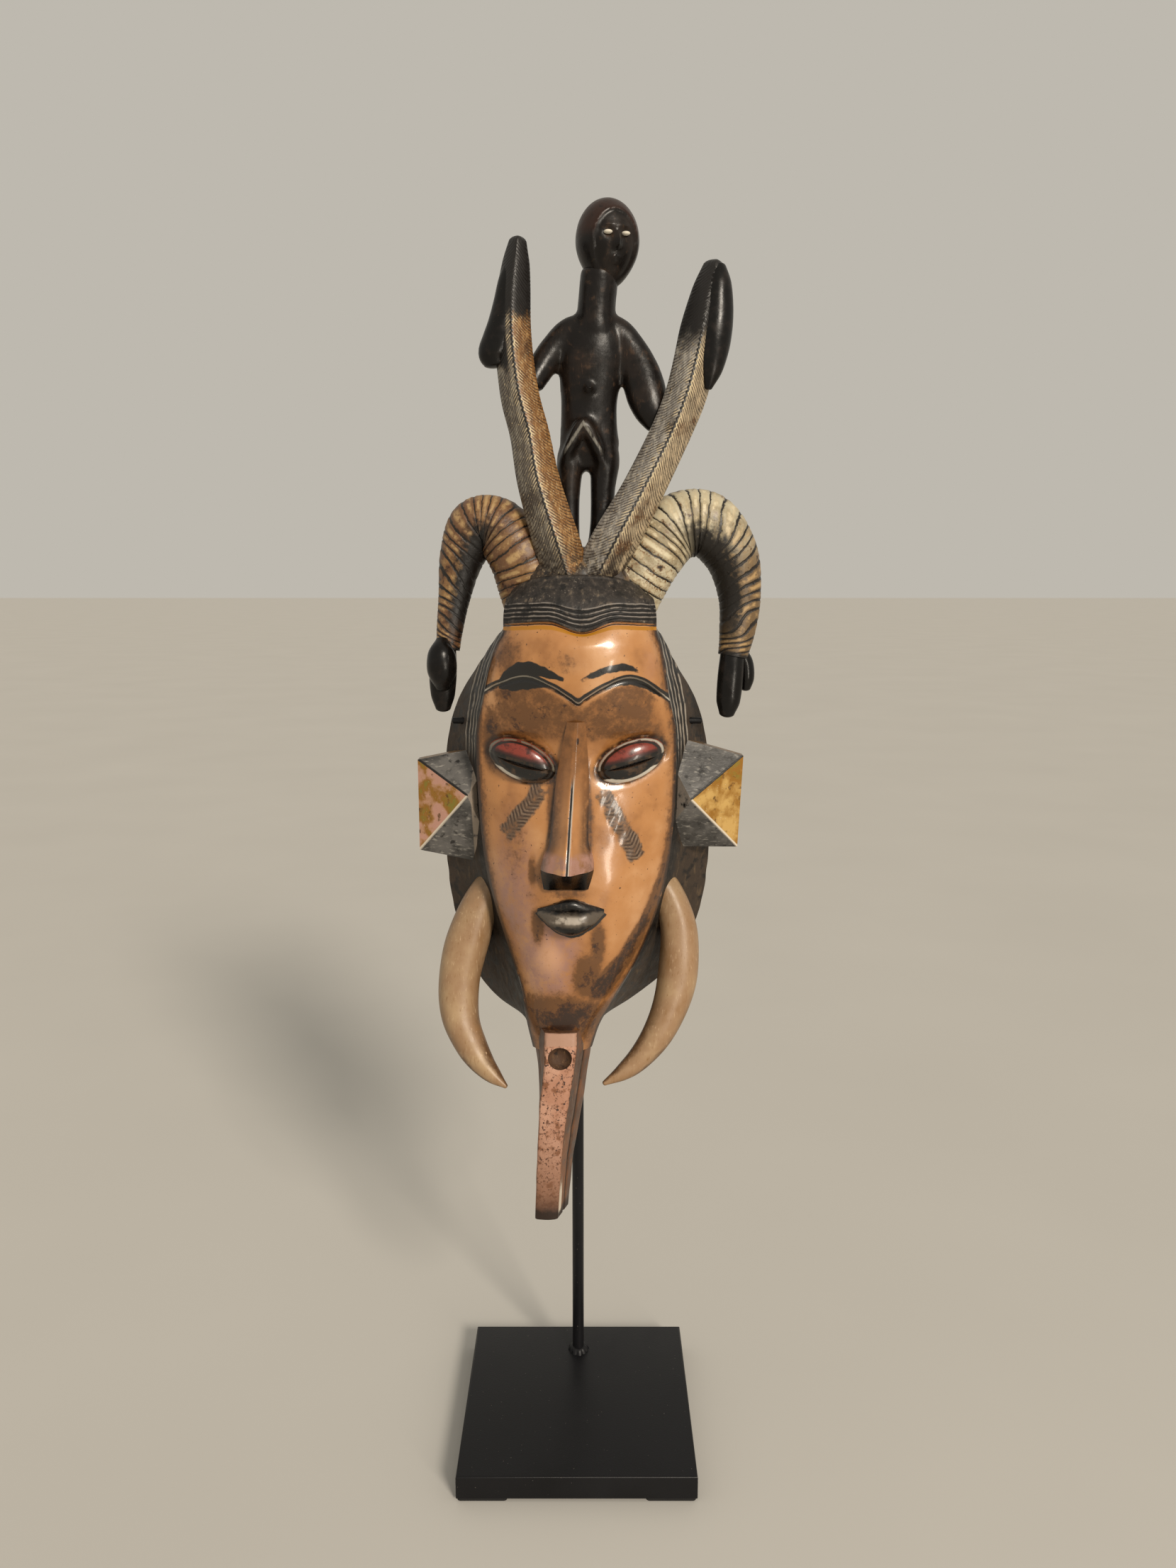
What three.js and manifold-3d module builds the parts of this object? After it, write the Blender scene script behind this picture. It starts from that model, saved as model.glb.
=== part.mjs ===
// A carved and painted wooden dance mask on its display stand. Millimetres, +Z up, the face towards -Y.
// The mask is cut from one block: a hollow face with pierced eyes, two ear blocks, two tusks, a trunk below
// the chin, two ribbed ram horns, two tall horns, and a standing figure that holds the tall horns.
// The stand is black steel: a plate on four pads, a post welded to it, and a cross bar through the mask's sides.
import * as THREE from 'three';
import { mergeVertices } from 'three/addons/utils/BufferGeometryUtils.js';
import Module from 'manifold-3d';

const wasm = await Module();
wasm.setup();

// Stand
const PLATE_SIDE = 150;
const PLATE_THICKNESS = 15;
const PLATE_CHAMFER = 1.5;
const PAD_SIDE = 31;
const PAD_THICKNESS = 2.5;
const PAD_INSET = 0.8;
const POST_RADIUS = 4;
const POST_FROM_BACK_EDGE = 27;
const POST_ABOVE_BAR = 6;
const WELD_RADIUS = 7.5;
const WELD_HEIGHT = 3.5;
const BAR_RADIUS = 2;
const BAR_PROUD_OF_MASK = 5;
const FIT_GAP = 0.3;
const POST_TO_RIM_GAP = 1.5;

// Mask: its height sets its scale, and the carving below is drawn for a mask DRAWN_HEIGHT tall
const MASK_HEIGHT = 621;
const DRAWN_HEIGHT = 621;
const TRUNK_ABOVE_PLATE = 148;
const RIM_DEPTH = 10;
const WALL = 9;

// Carving, in the mask's drawn units. x is to the right, d is forwards and z is up, all from the bar's middle.
const RIM = { top: 75, middle: -65, bottom: -199.5, halfWidth: 87, power: 2.5, flare: 2 };
const HEAD_TOP = 90;
const TRUNK_TOP = -190;
const CHIN_BELOW_TRUNK_TOP = 17;
const CHIN_BOTTOM = TRUNK_TOP - CHIN_BELOW_TRUNK_TOP;
const TRUNK_TIP = -309;
const SIDE_AT_BAR = 75;

const BLACK_STEEL = { color: 0x0b0b0c, roughness: 0.35, metalness: 0.6 };
const PAD_RUBBER = { color: 0x08080a, roughness: 0.9, metalness: 0 };
const PAINTED_WOOD = { color: 0xb9794a, roughness: 0.45, metalness: 0 };

const scale = MASK_HEIGHT / DRAWN_HEIGHT;
const wall = WALL / scale;
const plateTop = PAD_THICKNESS + PLATE_THICKNESS;
const postY = PLATE_SIDE / 2 - POST_FROM_BACK_EDGE;
const barY = postY - POST_RADIUS - POST_TO_RIM_GAP - RIM_DEPTH * scale;
const barZ = plateTop + TRUNK_ABOVE_PLATE - TRUNK_TIP * scale;
const barHalfLength = SIDE_AT_BAR * scale + BAR_PROUD_OF_MASK;

// Smooth curve through [position, value] stations that run from high to low or from low to high.
function through(stations) {
  const rows = [...stations].sort((a, b) => a[0] - b[0]);
  const slope = rows.map((row, i) => {
    const before = rows[Math.max(i - 1, 0)];
    const after = rows[Math.min(i + 1, rows.length - 1)];
    return (after[1] - before[1]) / (after[0] - before[0]);
  });
  return (at) => {
    if (at <= rows[0][0]) return rows[0][1];
    if (at >= rows[rows.length - 1][0]) return rows[rows.length - 1][1];
    const i = rows.findIndex((row) => row[0] > at) - 1;
    const [x0, y0] = rows[i];
    const [x1, y1] = rows[i + 1];
    const t = (at - x0) / (x1 - x0);
    const bend0 = slope[i] * (x1 - x0);
    const bend1 = slope[i + 1] * (x1 - x0);
    const t2 = t * t;
    const t3 = t2 * t;
    return (2 * t3 - 3 * t2 + 1) * y0 + (t3 - 2 * t2 + t) * bend0 + (3 * t2 - 2 * t3) * y1 + (t3 - t2) * bend1;
  };
}

const clamp01 = (v) => Math.min(1, Math.max(0, v));
const ease = (v) => clamp01(v) ** 2 * (3 - 2 * clamp01(v));
const bell = (x, z, cx, cz, rx, rz) => Math.exp(-(((x - cx) / rx) ** 2) - ((z - cz) / rz) ** 2);
const steps = (from, to, count) => Array.from({ length: count + 1 }, (_, i) => from + ((to - from) * i) / count);

// A closed geometry as a solid, turned right side out.
function solidOf(geometry) {
  const bare = new THREE.BufferGeometry().setAttribute('position', geometry.getAttribute('position'));
  if (geometry.index) bare.setIndex(geometry.index);
  const merged = mergeVertices(bare, 1e-4);
  const vertProperties = Float32Array.from(merged.getAttribute('position').array);
  const triVerts = Uint32Array.from(merged.index.array);
  const made = new wasm.Manifold(new wasm.Mesh({ numProp: 3, vertProperties, triVerts }));
  if (made.volume() > 0) return made;
  for (let i = 0; i < triVerts.length; i += 3) [triVerts[i], triVerts[i + 1]] = [triVerts[i + 1], triVerts[i]];
  return new wasm.Manifold(new wasm.Mesh({ numProp: 3, vertProperties, triVerts }));
}

// A solid back as a geometry.
function geometryOf(solid) {
  const { vertProperties, triVerts } = solid.getMesh();
  const geometry = new THREE.BufferGeometry();
  geometry.setAttribute('position', new THREE.BufferAttribute(vertProperties, 3));
  geometry.setIndex(new THREE.BufferAttribute(triVerts, 1));
  geometry.computeVertexNormals();
  return geometry;
}

// A solid skinned over a stack of rings of {x, d, z} points, closed by a fan at each end.
function skin(rings) {
  const sides = rings[0].length;
  const points = [];
  const faces = [];
  const add = (p) => points.push(p.x, -p.d, p.z) / 3 - 1;
  const first = rings.map((ring) => ring.map(add)[0]);
  for (let r = 0; r + 1 < rings.length; r++) {
    for (let i = 0; i < sides; i++) {
      const j = (i + 1) % sides;
      const [a, b, c, d] = [first[r] + i, first[r] + j, first[r + 1] + j, first[r + 1] + i];
      faces.push(a, b, c, a, c, d);
    }
  }
  for (const [ring, base, turn] of [[rings[0], first[0], -1], [rings.at(-1), first.at(-1), 1]]) {
    const mean = (key) => ring.reduce((sum, p) => sum + p[key], 0) / sides;
    const middle = add({ x: mean('x'), d: mean('d'), z: mean('z') });
    for (let i = 0; i < sides; i++) {
      const j = (i + 1) % sides;
      faces.push(...(turn > 0 ? [base + i, base + j, middle] : [base + j, base + i, middle]));
    }
  }
  const geometry = new THREE.BufferGeometry();
  geometry.setAttribute('position', new THREE.Float32BufferAttribute(points, 3));
  geometry.setIndex(faces);
  return solidOf(geometry);
}

// A tapering limb through [x, d, z, radius] stations. squash flattens it front to back, power 2 is round and
// lower is more of a diamond, and swell(t) changes the radius along it.
function limb(stations, { sides = 10, count = 12, squash = 1, power = 2, swell = () => 1 } = {}) {
  const path = new THREE.CatmullRomCurve3(stations.map(([x, d, z]) => new THREE.Vector3(x, -d, z)));
  const radius = through(stations.map((row, i) => [i / (stations.length - 1), row[3]]));
  const across = new THREE.Vector3();
  const deep = new THREE.Vector3();
  return skin(steps(0, 1, count).map((t) => {
    const at = path.getPoint(t);
    const along = path.getTangent(t);
    deep.set(0, 1, 0).addScaledVector(along, -along.y).normalize();
    across.crossVectors(deep, along);
    const r = radius(t) * swell(t);
    return Array.from({ length: sides }, (_, i) => {
      const angle = (2 * Math.PI * i) / sides;
      const [c, s] = [Math.cos(angle), Math.sin(angle)];
      const reach = r / (Math.abs(c) ** power + Math.abs(s) ** power) ** (1 / power);
      const p = at.clone().addScaledVector(across, c * reach).addScaledVector(deep, s * reach * squash);
      return { x: p.x, d: -p.y, z: p.z };
    });
  }));
}

// An egg of the given half sizes.
function egg(cx, cd, cz, rx, rd, rz, sides = 12, count = 8) {
  return skin(steps(0.08, 0.92, count).map((t) => {
    const z = -Math.cos(Math.PI * t);
    const r = Math.sin(Math.PI * t);
    return Array.from({ length: sides }, (_, i) => {
      const angle = (2 * Math.PI * i) / sides;
      return { x: cx + rx * r * Math.cos(angle), d: cd + rd * r * Math.sin(angle), z: cz + rz * z };
    });
  }));
}

// The face's outline and its depth at the middle and at the edge, from the crown down to the chin.
const faceHalfWidth = through([[90, 42], [76, 47], [55, 49.5], [35, 54], [6, 60], [-24, 61.5], [-70, 59.5],
  [-103, 54.5], [-140, 43], [-170, 30.5], [-180, 27], [-192, 23], [-207, 19]]);
const faceMiddleDepth = through([[90, 38], [80, 51], [66, 60], [45, 66], [25, 65], [10, 61], [-10, 56], [-30, 54],
  [-60, 57], [-90, 60], [-115, 61], [-140, 58], [-170, 52], [-192, 49], [-207, 44]]);
const faceEdgeDepth = through([[90, 28], [70, 42], [45, 44], [15, 40], [-20, 34], [-60, 31], [-100, 30], [-140, 31],
  [-170, 34], [-207, 33]]);
const lean = through([[90, 2], [60, 2], [30, 0], [-110, 0], [-150, -1.5], [-171, -4.5], [-190, -8.5], [-207, -9.5]]);

// The lines that the carver followed, as heights across the face.
const browLine = (x) => 18 + 15 * Math.sin(2.5 * clamp01(Math.abs(x) / 58));
const hairLine = (x) => 61 + 11 * ease(Math.abs(x) / 26) + 3 * clamp01((Math.abs(x) - 24) / 24);
const BROW_MIDDLE = 25;
const HAIR_MIDDLE = 70;

const EYE = { x: 33, z: -19.5, halfWidth: 20.5, halfHeight: 11.5, slant: 0.27, ball: 7 };
const SOCKET = { x: 29, z: -13, width: 25, height: 17, depth: 6 };
const SLIT = { halfLength: 17, below: 5.5, above: 0.5, drop: 3.5 };
const NOSE = { top: 6, wingTop: -72, bottom: -87, lean: -5.5, rise: 4, tipRise: 21 };
const CROWN = { x: 2, depth: 12, z: 84, halfWidth: 44, halfDepth: 27, halfHeight: 25 };
const MOUTH = { x: -1.5, corner: -110, halfWidth: 18, upper: -105.5, lower: -118, lip: 5 };

function rimHalfWidth(z) {
  const halfHeight = z > RIM.middle ? RIM.top - RIM.middle : RIM.middle - RIM.bottom;
  const share = clamp01(Math.abs(z - RIM.middle) / halfHeight);
  return RIM.halfWidth * (1 - share ** RIM.power) ** (1 / RIM.power);
}

// How far back the body reaches: flat at the rim, drawn in under the chin and behind the crown.
const bodyBack = (z) => -RIM_DEPTH + 20 * clamp01((z - 60) / 30) ** 2 + 26 * clamp01((-180 - z) / 27) ** 2;

// A level of the body bends up and down with the brow line and the hairline that are close to it.
function levelAt(x, z) {
  const brow = clamp01(1 - Math.abs(z - BROW_MIDDLE) / 24) * (browLine(x) - BROW_MIDDLE);
  const hair = clamp01(1 - Math.abs(z - HAIR_MIDDLE) / 19) * (hairLine(x) - HAIR_MIDDLE);
  return z + brow + hair;
}

// What is raised or sunk on the face at one level: the brow, the hair and the hollows round the eyes.
function faceRelief(x, z) {
  const brow = 2.5 * ease((z - BROW_MIDDLE + 1) / 2);
  const hair = 3 * ease((z - HAIR_MIDDLE + 1) / 2);
  const socket = SOCKET.depth * bell(Math.abs(x), z, SOCKET.x, SOCKET.z, SOCKET.width, SOCKET.height);
  return brow + hair - socket;
}

// One level of the body: up the right wall, across the face, down the left wall and back along the rim.
function bodyRing(z) {
  const half = faceHalfWidth(z);
  const rim = Math.max(rimHalfWidth(z), 1.04 * half + 1);
  const [back, edge, middle] = [bodyBack(z), faceEdgeDepth(z), faceMiddleDepth(z)];
  const flank = steps(0, 1, 3).map((s) => {
    return { x: half + (rim - half) * (1 - s) ** RIM.flare, d: back + (edge - back) * s };
  });
  const front = steps(1, -1, 18).slice(1, -1).map((u) => {
    const x = u * half;
    const relief = faceRelief(x, z) * ease((1 - Math.abs(u)) / 0.12);
    const d = edge + (middle - edge) * (1 - Math.abs(u) ** 2.3) + relief;
    return { x: x + lean(z), d, z: levelAt(x, z) };
  });
  const place = (p, side) => {
    const forward = clamp01((p.d - back) / (edge - back));
    return { x: side * p.x + lean(z), d: p.d, z: z + (levelAt(half, z) - z) * forward ** 2 };
  };
  const right = flank.map((p) => place(p, 1));
  const left = [...flank].reverse().map((p) => place(p, -1));
  const rear = steps(-1, 1, 3).slice(1, -1).map((u) => ({ x: u * rim + lean(z), d: back, z }));
  return [...right, ...front, ...left, ...rear];
}

// The body's levels, close together where the brow and the hair step forward.
const bodyLevels = () => [
  ...steps(CHIN_BOTTOM, BROW_MIDDLE - 1, 22),
  ...steps(BROW_MIDDLE + 1, HAIR_MIDDLE - 1, 5),
  ...steps(HAIR_MIDDLE + 1, HEAD_TOP, 3),
];

// The hollow follows the outside at the wall's thickness and opens through the rim.
function hollowRing(z) {
  const [top, bottom] = [RIM.top - wall, RIM.bottom + wall];
  const share = (z - RIM.middle) / (z > RIM.middle ? top - RIM.middle : RIM.middle - bottom);
  const outer = RIM.middle + share * (z > RIM.middle ? RIM.top - RIM.middle : RIM.middle - RIM.bottom);
  const half = faceHalfWidth(outer);
  const rim = Math.max(rimHalfWidth(outer), 2 * wall);
  const round = ease((1 - Math.abs(share)) / 0.34);
  const edge = Math.max(-RIM_DEPTH + 4, (faceEdgeDepth(outer) - wall) * round);
  const crown = Math.max(edge + 2, (faceMiddleDepth(outer) - wall - 7) * round);
  const side = steps(0, 1, 3).map((s) => {
    const x = half + (rim - half) * (1 - s) ** RIM.flare;
    const thickness = wall * (1 + 0.25 * (1 - s));
    return { x: Math.max(1, x - thickness), d: -RIM_DEPTH + (edge + RIM_DEPTH) * s, z };
  });
  const corner = side.at(-1).x;
  const front = steps(1, -1, 7).slice(1, -1).map((u) => {
    return { x: u * corner, d: edge + (crown - edge) * (1 - Math.abs(u) ** 2.3), z };
  });
  const left = [...side].reverse().map((p) => ({ ...p, x: -p.x }));
  const lip = -RIM_DEPTH - 4;
  return [{ x: side[0].x, d: lip, z }, ...side, ...front, ...left, { x: -side[0].x, d: lip, z }];
}

// The nose: a roof-shaped wedge that leans to the left and ends in two wings over a flat underside.
function nose() {
  const halfWidth = through([[NOSE.top, 6.5], [-27, 10.5], [NOSE.wingTop, 12], [-79, 15], [NOSE.bottom, 16]]);
  return skin([NOSE.top, -8, -27, -50, NOSE.wingTop, -79, NOSE.bottom].map((z) => {
    const t = (NOSE.top - z) / (NOSE.top - NOSE.bottom);
    const middle = NOSE.lean * t;
    const base = faceMiddleDepth(z) - 1;
    const ridge = base + NOSE.rise + (NOSE.tipRise - NOSE.rise) * t;
    const half = halfWidth(z);
    const shoulder = base + 0.25 * (ridge - base);
    const outline = [[half, base - 7], [half, shoulder], [0.18 * half, ridge], [-0.18 * half, ridge],
      [-half, shoulder], [-half, base - 7]];
    return outline.map(([x, d]) => ({ x: x + middle, d, z }));
  }));
}

// The eye: a heavy-lidded almond that slants up to its outer corner.
function eyeball(side) {
  return skin(steps(-1, 1, 9).slice(1, -1).map((u) => {
    const x = EYE.x + u * EYE.halfWidth;
    const z = EYE.z + EYE.slant * u * EYE.halfWidth;
    const reach = Math.sqrt(1 - u * u);
    const base = faceMiddleDepth(EYE.z) - 4 - 8 * ((x - 14) / 40) ** 2;
    return steps(0, 1, 10).slice(0, -1).map((t) => {
      const angle = 2 * Math.PI * t;
      const d = base + EYE.ball * reach * Math.cos(angle);
      return { x: side * x, d, z: z + EYE.halfHeight * reach * Math.sin(angle) };
    });
  }));
}

function lip(z, radius) {
  const [left, right] = [MOUTH.x - MOUTH.halfWidth, MOUTH.x + MOUTH.halfWidth];
  const depth = faceMiddleDepth(MOUTH.corner);
  const stations = [[left, depth - 3, MOUTH.corner, 2], [MOUTH.x - 9, depth + 1, (z + MOUTH.corner) / 2, radius * 0.9],
    [MOUTH.x, depth + 2.5, z, radius], [MOUTH.x + 9, depth + 1, (z + MOUTH.corner) / 2, radius * 0.9],
    [right, depth - 3, MOUTH.corner, 2]];
  return limb(stations, { sides: 8, count: 8 });
}

// A lens-shaped slit through the face below each eyeball.
function eyeSlit(side) {
  const lens = new THREE.Shape();
  lens.moveTo(-SLIT.halfLength, 0);
  lens.quadraticCurveTo(0, SLIT.above * 2, SLIT.halfLength, 0);
  lens.quadraticCurveTo(0, -SLIT.below * 2, -SLIT.halfLength, 0);
  const prism = new THREE.ExtrudeGeometry(lens, { depth: 80, bevelEnabled: false, curveSegments: 5 });
  prism.rotateX(Math.PI / 2).rotateY(-side * Math.atan(EYE.slant)).translate(side * EYE.x, 0, EYE.z - SLIT.drop);
  return solidOf(prism);
}

// The ear block: a wedge narrower at its outer edge, its front a pyramid with the peak close to the face.
const EAR_BACK = -4;
const EAR_EDGE = 6;
const EAR_PEAK = 27;
const EAR_RIGHT = { corners: [[50, -6], [106.4, -22], [103.7, -81.5], [50, -81]], peak: [71.6, -47] };
const EAR_LEFT = { corners: [[-50, -14], [-102, -24.5], [-102, -83.5], [-50, -94]], peak: [-68.5, -44.5] };

function earBlock({ corners, peak }) {
  const points = [
    ...corners.map(([x, z]) => [x, -EAR_BACK, z]),
    ...corners.map(([x, z]) => [x, -EAR_EDGE, z]),
    [peak[0], -EAR_PEAK, peak[1]],
  ];
  const faces = [[0, 2, 1], [0, 3, 2]];
  for (let i = 0; i < 4; i++) {
    const j = (i + 1) % 4;
    faces.push([i, j, j + 4], [i, j + 4, i + 4], [i + 4, j + 4, 8]);
  }
  const geometry = new THREE.BufferGeometry();
  geometry.setAttribute('position', new THREE.Float32BufferAttribute(points.flat(), 3));
  geometry.setIndex(faces.flat());
  return solidOf(geometry);
}

// The trunk: a deep bar that leans forwards and to the left, narrow in front, with a groove along each flank
// and a round notch under the step at its top.
function trunk() {
  const frontLeft = through([[-172, -19], [-191, -19.7], [-210, -20.2], [-235, -23.3], [-262, -24.7], [TRUNK_TIP, -26.6]]);
  const frontRight = through([[-172, 0], [-191, -0.3], [-210, -2.1], [-235, -7.8], [-262, -11.9], [TRUNK_TIP, -12.4]]);
  const backRight = through([[-172, 13], [-204, 10.9], [-226, 7.7], [-247, 4.5], [-276, -1.1], [TRUNK_TIP, -5]]);
  const backLeft = through([[-172, -34], [-195, -31.5], [-215, -27], [-226, -25.5], [-247, -24], [TRUNK_TIP, -23]]);
  const front = through([[-172, 50], [-191, 54], [-235, 60], [-262, 63], [TRUNK_TIP, 66]]);
  const back = through([[-172, 12], [-205, 20], [-226, 25], [-255, 32], [TRUNK_TIP, 46]]);
  const flank = [[0, 2.5], [0.12, 0], [0.42, 0], [0.5, 1.6], [0.58, 0], [1, 0]];
  const bar = skin(steps(TRUNK_TOP, TRUNK_TIP, 11).map((z) => {
    const side = (rear, fore, inward) => flank.map(([share, sunk]) => {
      return { x: rear + (fore - rear) * share + inward * sunk, d: back(z) + (front(z) - back(z)) * share, z };
    });
    return [...side(backRight(z), frontRight(z), -1), ...side(backLeft(z), frontLeft(z), 1).reverse()];
  }));
  const notch = new THREE.CylinderGeometry(5.5, 5.5, 60, 12).rotateZ(Math.PI / 2);
  notch.translate(-11, -front(-203) - 1, -203.5);
  return bar.subtract(solidOf(notch));
}

// A ram horn: ribbed, rising out of the crown, bending over and hanging beside the head, with a blackened end.
function ramHorn(stations, ribs, knob, toe) {
  const swell = (t) => 1 + 0.04 * Math.cos(2 * Math.PI * ribs * t);
  const horn = limb(stations, { sides: 10, count: ribs * 2, squash: 0.9, swell });
  return horn.add(limb(knob, { sides: 10, count: 6, squash: 0.75 })).add(limb(toe, { sides: 8, count: 5 }));
}

const RAM_RIGHT = [[20, 14, 78, 16], [39, 14, 97, 17.5], [55, 11, 114, 19.5], [74, 9, 124, 20.5], [93, 9, 108, 17.5],
  [99.5, 11, 78, 12.5], [98.5, 14, 55, 10.5], [97, 15, 42, 9]];
const RAM_RIGHT_END = [[97, 16, 50, 7], [95.6, 18, 30, 8], [94.5, 18, 14, 7.4], [93.8, 18, 7, 5]];
const RAM_RIGHT_TOE = [[101, 12, 46, 4], [105.5, 10, 38, 5], [106.5, 10, 28, 5], [106, 10, 22, 3.5]];
const RAM_LEFT = [[-18, 14, 78, 15], [-31, 14, 96, 17], [-42, 11, 112, 18.5], [-57, 9, 120, 18.5], [-70, 9, 104, 15],
  [-76, 11, 78, 10], [-79, 14, 57, 8], [-80, 15, 46, 7.5]];
const RAM_LEFT_END = [[-81, 16, 52, 6], [-83, 18, 34, 8.5], [-83.5, 18, 18, 7.5], [-83.5, 18, 10.5, 5]];
const RAM_LEFT_TOE = [[-83, 21, 52, 4], [-83, 24, 44, 8.5], [-83, 24, 33, 9], [-83, 22, 24, 5]];

// A tall horn: a keeled shaft with a blackened end whose heel overhangs it.
function tallHorn(shaft, end) {
  const keel = limb(shaft, { sides: 8, count: 13, power: 1.35, squash: 0.95 });
  return keel.add(limb(end, { sides: 10, count: 8, squash: 0.95 }));
}

const TALL_LEFT = [[-2, 28, 92, 10.5], [-9, 29, 113, 11], [-22, 26, 148, 12], [-28, 23, 175.5, 11.8],
  [-33.4, 21, 196, 11.6], [-36.5, 19, 217, 11.2], [-38, 17, 237, 11.3], [-37, 16, 257, 10], [-35.4, 15, 273, 8],
  [-34, 15, 286, 3.4]];
const TALL_LEFT_END = [[-38, 16, 266, 5.5], [-43, 17, 250, 8.3], [-47.5, 18, 237, 9], [-51, 18, 226, 6.5],
  [-52.5, 18, 217, 2.8]];
const TALL_RIGHT = [[9, 28, 92, 10], [21.7, 30, 113, 10.4], [38.3, 27, 141, 11.4], [56.6, 23, 175.5, 12.1],
  [64.7, 21, 196, 12.4], [70.4, 19, 217, 12.5], [74.4, 18, 237, 12.3], [78.4, 16, 257, 10.3], [81.9, 15, 273, 4.4]];
const TALL_RIGHT_END = [[82.2, 17, 275, 3], [84, 18, 262, 7], [82.5, 20, 243, 10.3], [81, 22, 226, 10],
  [79.5, 24, 211, 7], [78, 25, 200.6, 2.4]];

const TUSK_RIGHT = [[38, 4, -92, 8], [54, 6, -104, 9.5], [65, 12, -130, 11.5], [66, 18, -155, 12.9],
  [62.2, 24, -176.3, 12.1], [52.1, 32, -198, 9.9], [39.1, 37, -214, 7.6], [29, 41, -221.3, 5.2], [17.6, 45, -226.7, 1.6]];
const TUSK_LEFT = [[-40, 4, -96, 9], [-58, 6, -110, 11], [-71, 12, -141, 13.9], [-76.7, 18, -168, 13.4],
  [-75.5, 25, -190, 12], [-68.1, 32, -206.4, 10.1], [-60.2, 37, -217.2, 7.8], [-53.1, 41, -223.7, 5.2],
  [-45.6, 45, -228.7, 1.6]];

// The standing figure behind the tall horns: legs, body, neck, head and the arms that grip the horns.
function figure() {
  const legs = [
    [[3, 4, 174, 8], [-2.5, 5, 162, 8], [-4.2, 7, 145, 6.8], [-4.5, 9, 125, 6.2], [-4.5, 11, 104, 7]],
    [[11, 4, 174, 8], [16, 5, 162, 9], [16, 7, 145, 7.6], [15.5, 9, 125, 7], [13.5, 11, 104, 7.5]],
  ];
  const torso = [[8, 4, 158, 12], [8.6, 4, 168, 16], [7.2, 4, 183, 14], [6.9, 4, 194, 13.5], [8.6, 4, 210, 15.5],
    [10.4, 4, 222, 17], [10.8, 4, 233, 17], [11, 3.5, 241, 13], [11.5, 3, 247, 9]];
  const neck = [[11.3, 3, 238, 10.2], [12.3, 3, 253, 9.8], [14.5, 3, 272, 10]];
  const arms = [
    [[3, 2, 234, 8.5], [-10, 2, 235, 8.3], [-18, 5, 226, 7.5], [-23, 9, 213, 7], [-24, 14, 203, 6.5]],
    [[20, 2, 233, 8.5], [29, 2, 231, 9], [39.4, 4, 222, 8.8], [46, 7, 208, 8], [47.5, 12, 192, 7.5], [46, 15, 182, 5]],
  ];
  const jaw = [[19.5, 5, 292, 14.5], [20.3, 7, 277, 13.5], [21, 8, 267, 8]];
  let body = limb(torso, { sides: 12, count: 10, squash: 0.62 });
  for (const leg of legs) body = body.add(limb(leg, { sides: 8, count: 6 }));
  for (const arm of arms) body = body.add(limb(arm, { sides: 8, count: 8, squash: 0.85 }));
  body = body.add(limb(neck, { sides: 10, count: 3 }));
  body = body.add(egg(19, 3, 290.5, 18.7, 18.5, 21.8, 14, 9));
  return body.add(limb(jaw, { sides: 10, count: 4 }));
}

// The whole mask in its drawn units.
function carving() {
  const hollowTop = RIM.top - wall;
  const hollowLow = RIM.bottom + wall;
  const hollow = skin(steps(hollowLow + 2, hollowTop - 10, 15).map(hollowRing));
  let mask = skin(bodyLevels().map(bodyRing));
  mask = mask.add(nose()).add(lip(MOUTH.upper, MOUTH.lip)).add(lip(MOUTH.lower, MOUTH.lip * 1.15));
  mask = mask.add(eyeball(1)).add(eyeball(-1));
  mask = mask.add(earBlock(EAR_LEFT)).add(earBlock(EAR_RIGHT));
  mask = mask.add(limb(TUSK_RIGHT, { count: 13 })).add(limb(TUSK_LEFT, { count: 13 }));
  mask = mask.add(trunk());
  mask = mask.add(egg(CROWN.x, CROWN.depth, CROWN.z, CROWN.halfWidth, CROWN.halfDepth, CROWN.halfHeight, 14, 7));
  mask = mask.add(ramHorn(RAM_RIGHT, 15, RAM_RIGHT_END, RAM_RIGHT_TOE));
  mask = mask.add(ramHorn(RAM_LEFT, 15, RAM_LEFT_END, RAM_LEFT_TOE));
  mask = mask.add(tallHorn(TALL_RIGHT, TALL_RIGHT_END)).add(tallHorn(TALL_LEFT, TALL_LEFT_END));
  mask = mask.add(figure());
  mask = mask.subtract(hollow);
  return mask.subtract(eyeSlit(1)).subtract(eyeSlit(-1));
}

const round = (radius, length, sides = 16) => new THREE.CylinderGeometry(radius, radius, length, sides);

function maskMesh() {
  const hole = solidOf(round(BAR_RADIUS + FIT_GAP, 3 * barHalfLength, 12).rotateZ(Math.PI / 2));
  const full = geometryOf(carving()).scale(scale, scale, scale);
  const solid = solidOf(full).subtract(hole);
  const mesh = new THREE.Mesh(geometryOf(solid), new THREE.MeshStandardMaterial(PAINTED_WOOD));
  mesh.name = 'mask';
  mesh.position.set(0, barY, barZ);
  return mesh;
}

// The plate, with its four top edges taken off.
function plateMesh() {
  const half = PLATE_SIDE / 2;
  const inset = half - PLATE_CHAMFER;
  const square = (h, z) => [[h, -h], [h, h], [-h, h], [-h, -h]].map(([x, d]) => ({ x, d, z }));
  const levels = [square(half, 0), square(half, PLATE_THICKNESS - PLATE_CHAMFER), square(inset, PLATE_THICKNESS)];
  const mesh = new THREE.Mesh(geometryOf(skin(levels)), new THREE.MeshStandardMaterial(BLACK_STEEL));
  mesh.name = 'base_plate';
  mesh.position.z = PAD_THICKNESS;
  return mesh;
}

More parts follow.
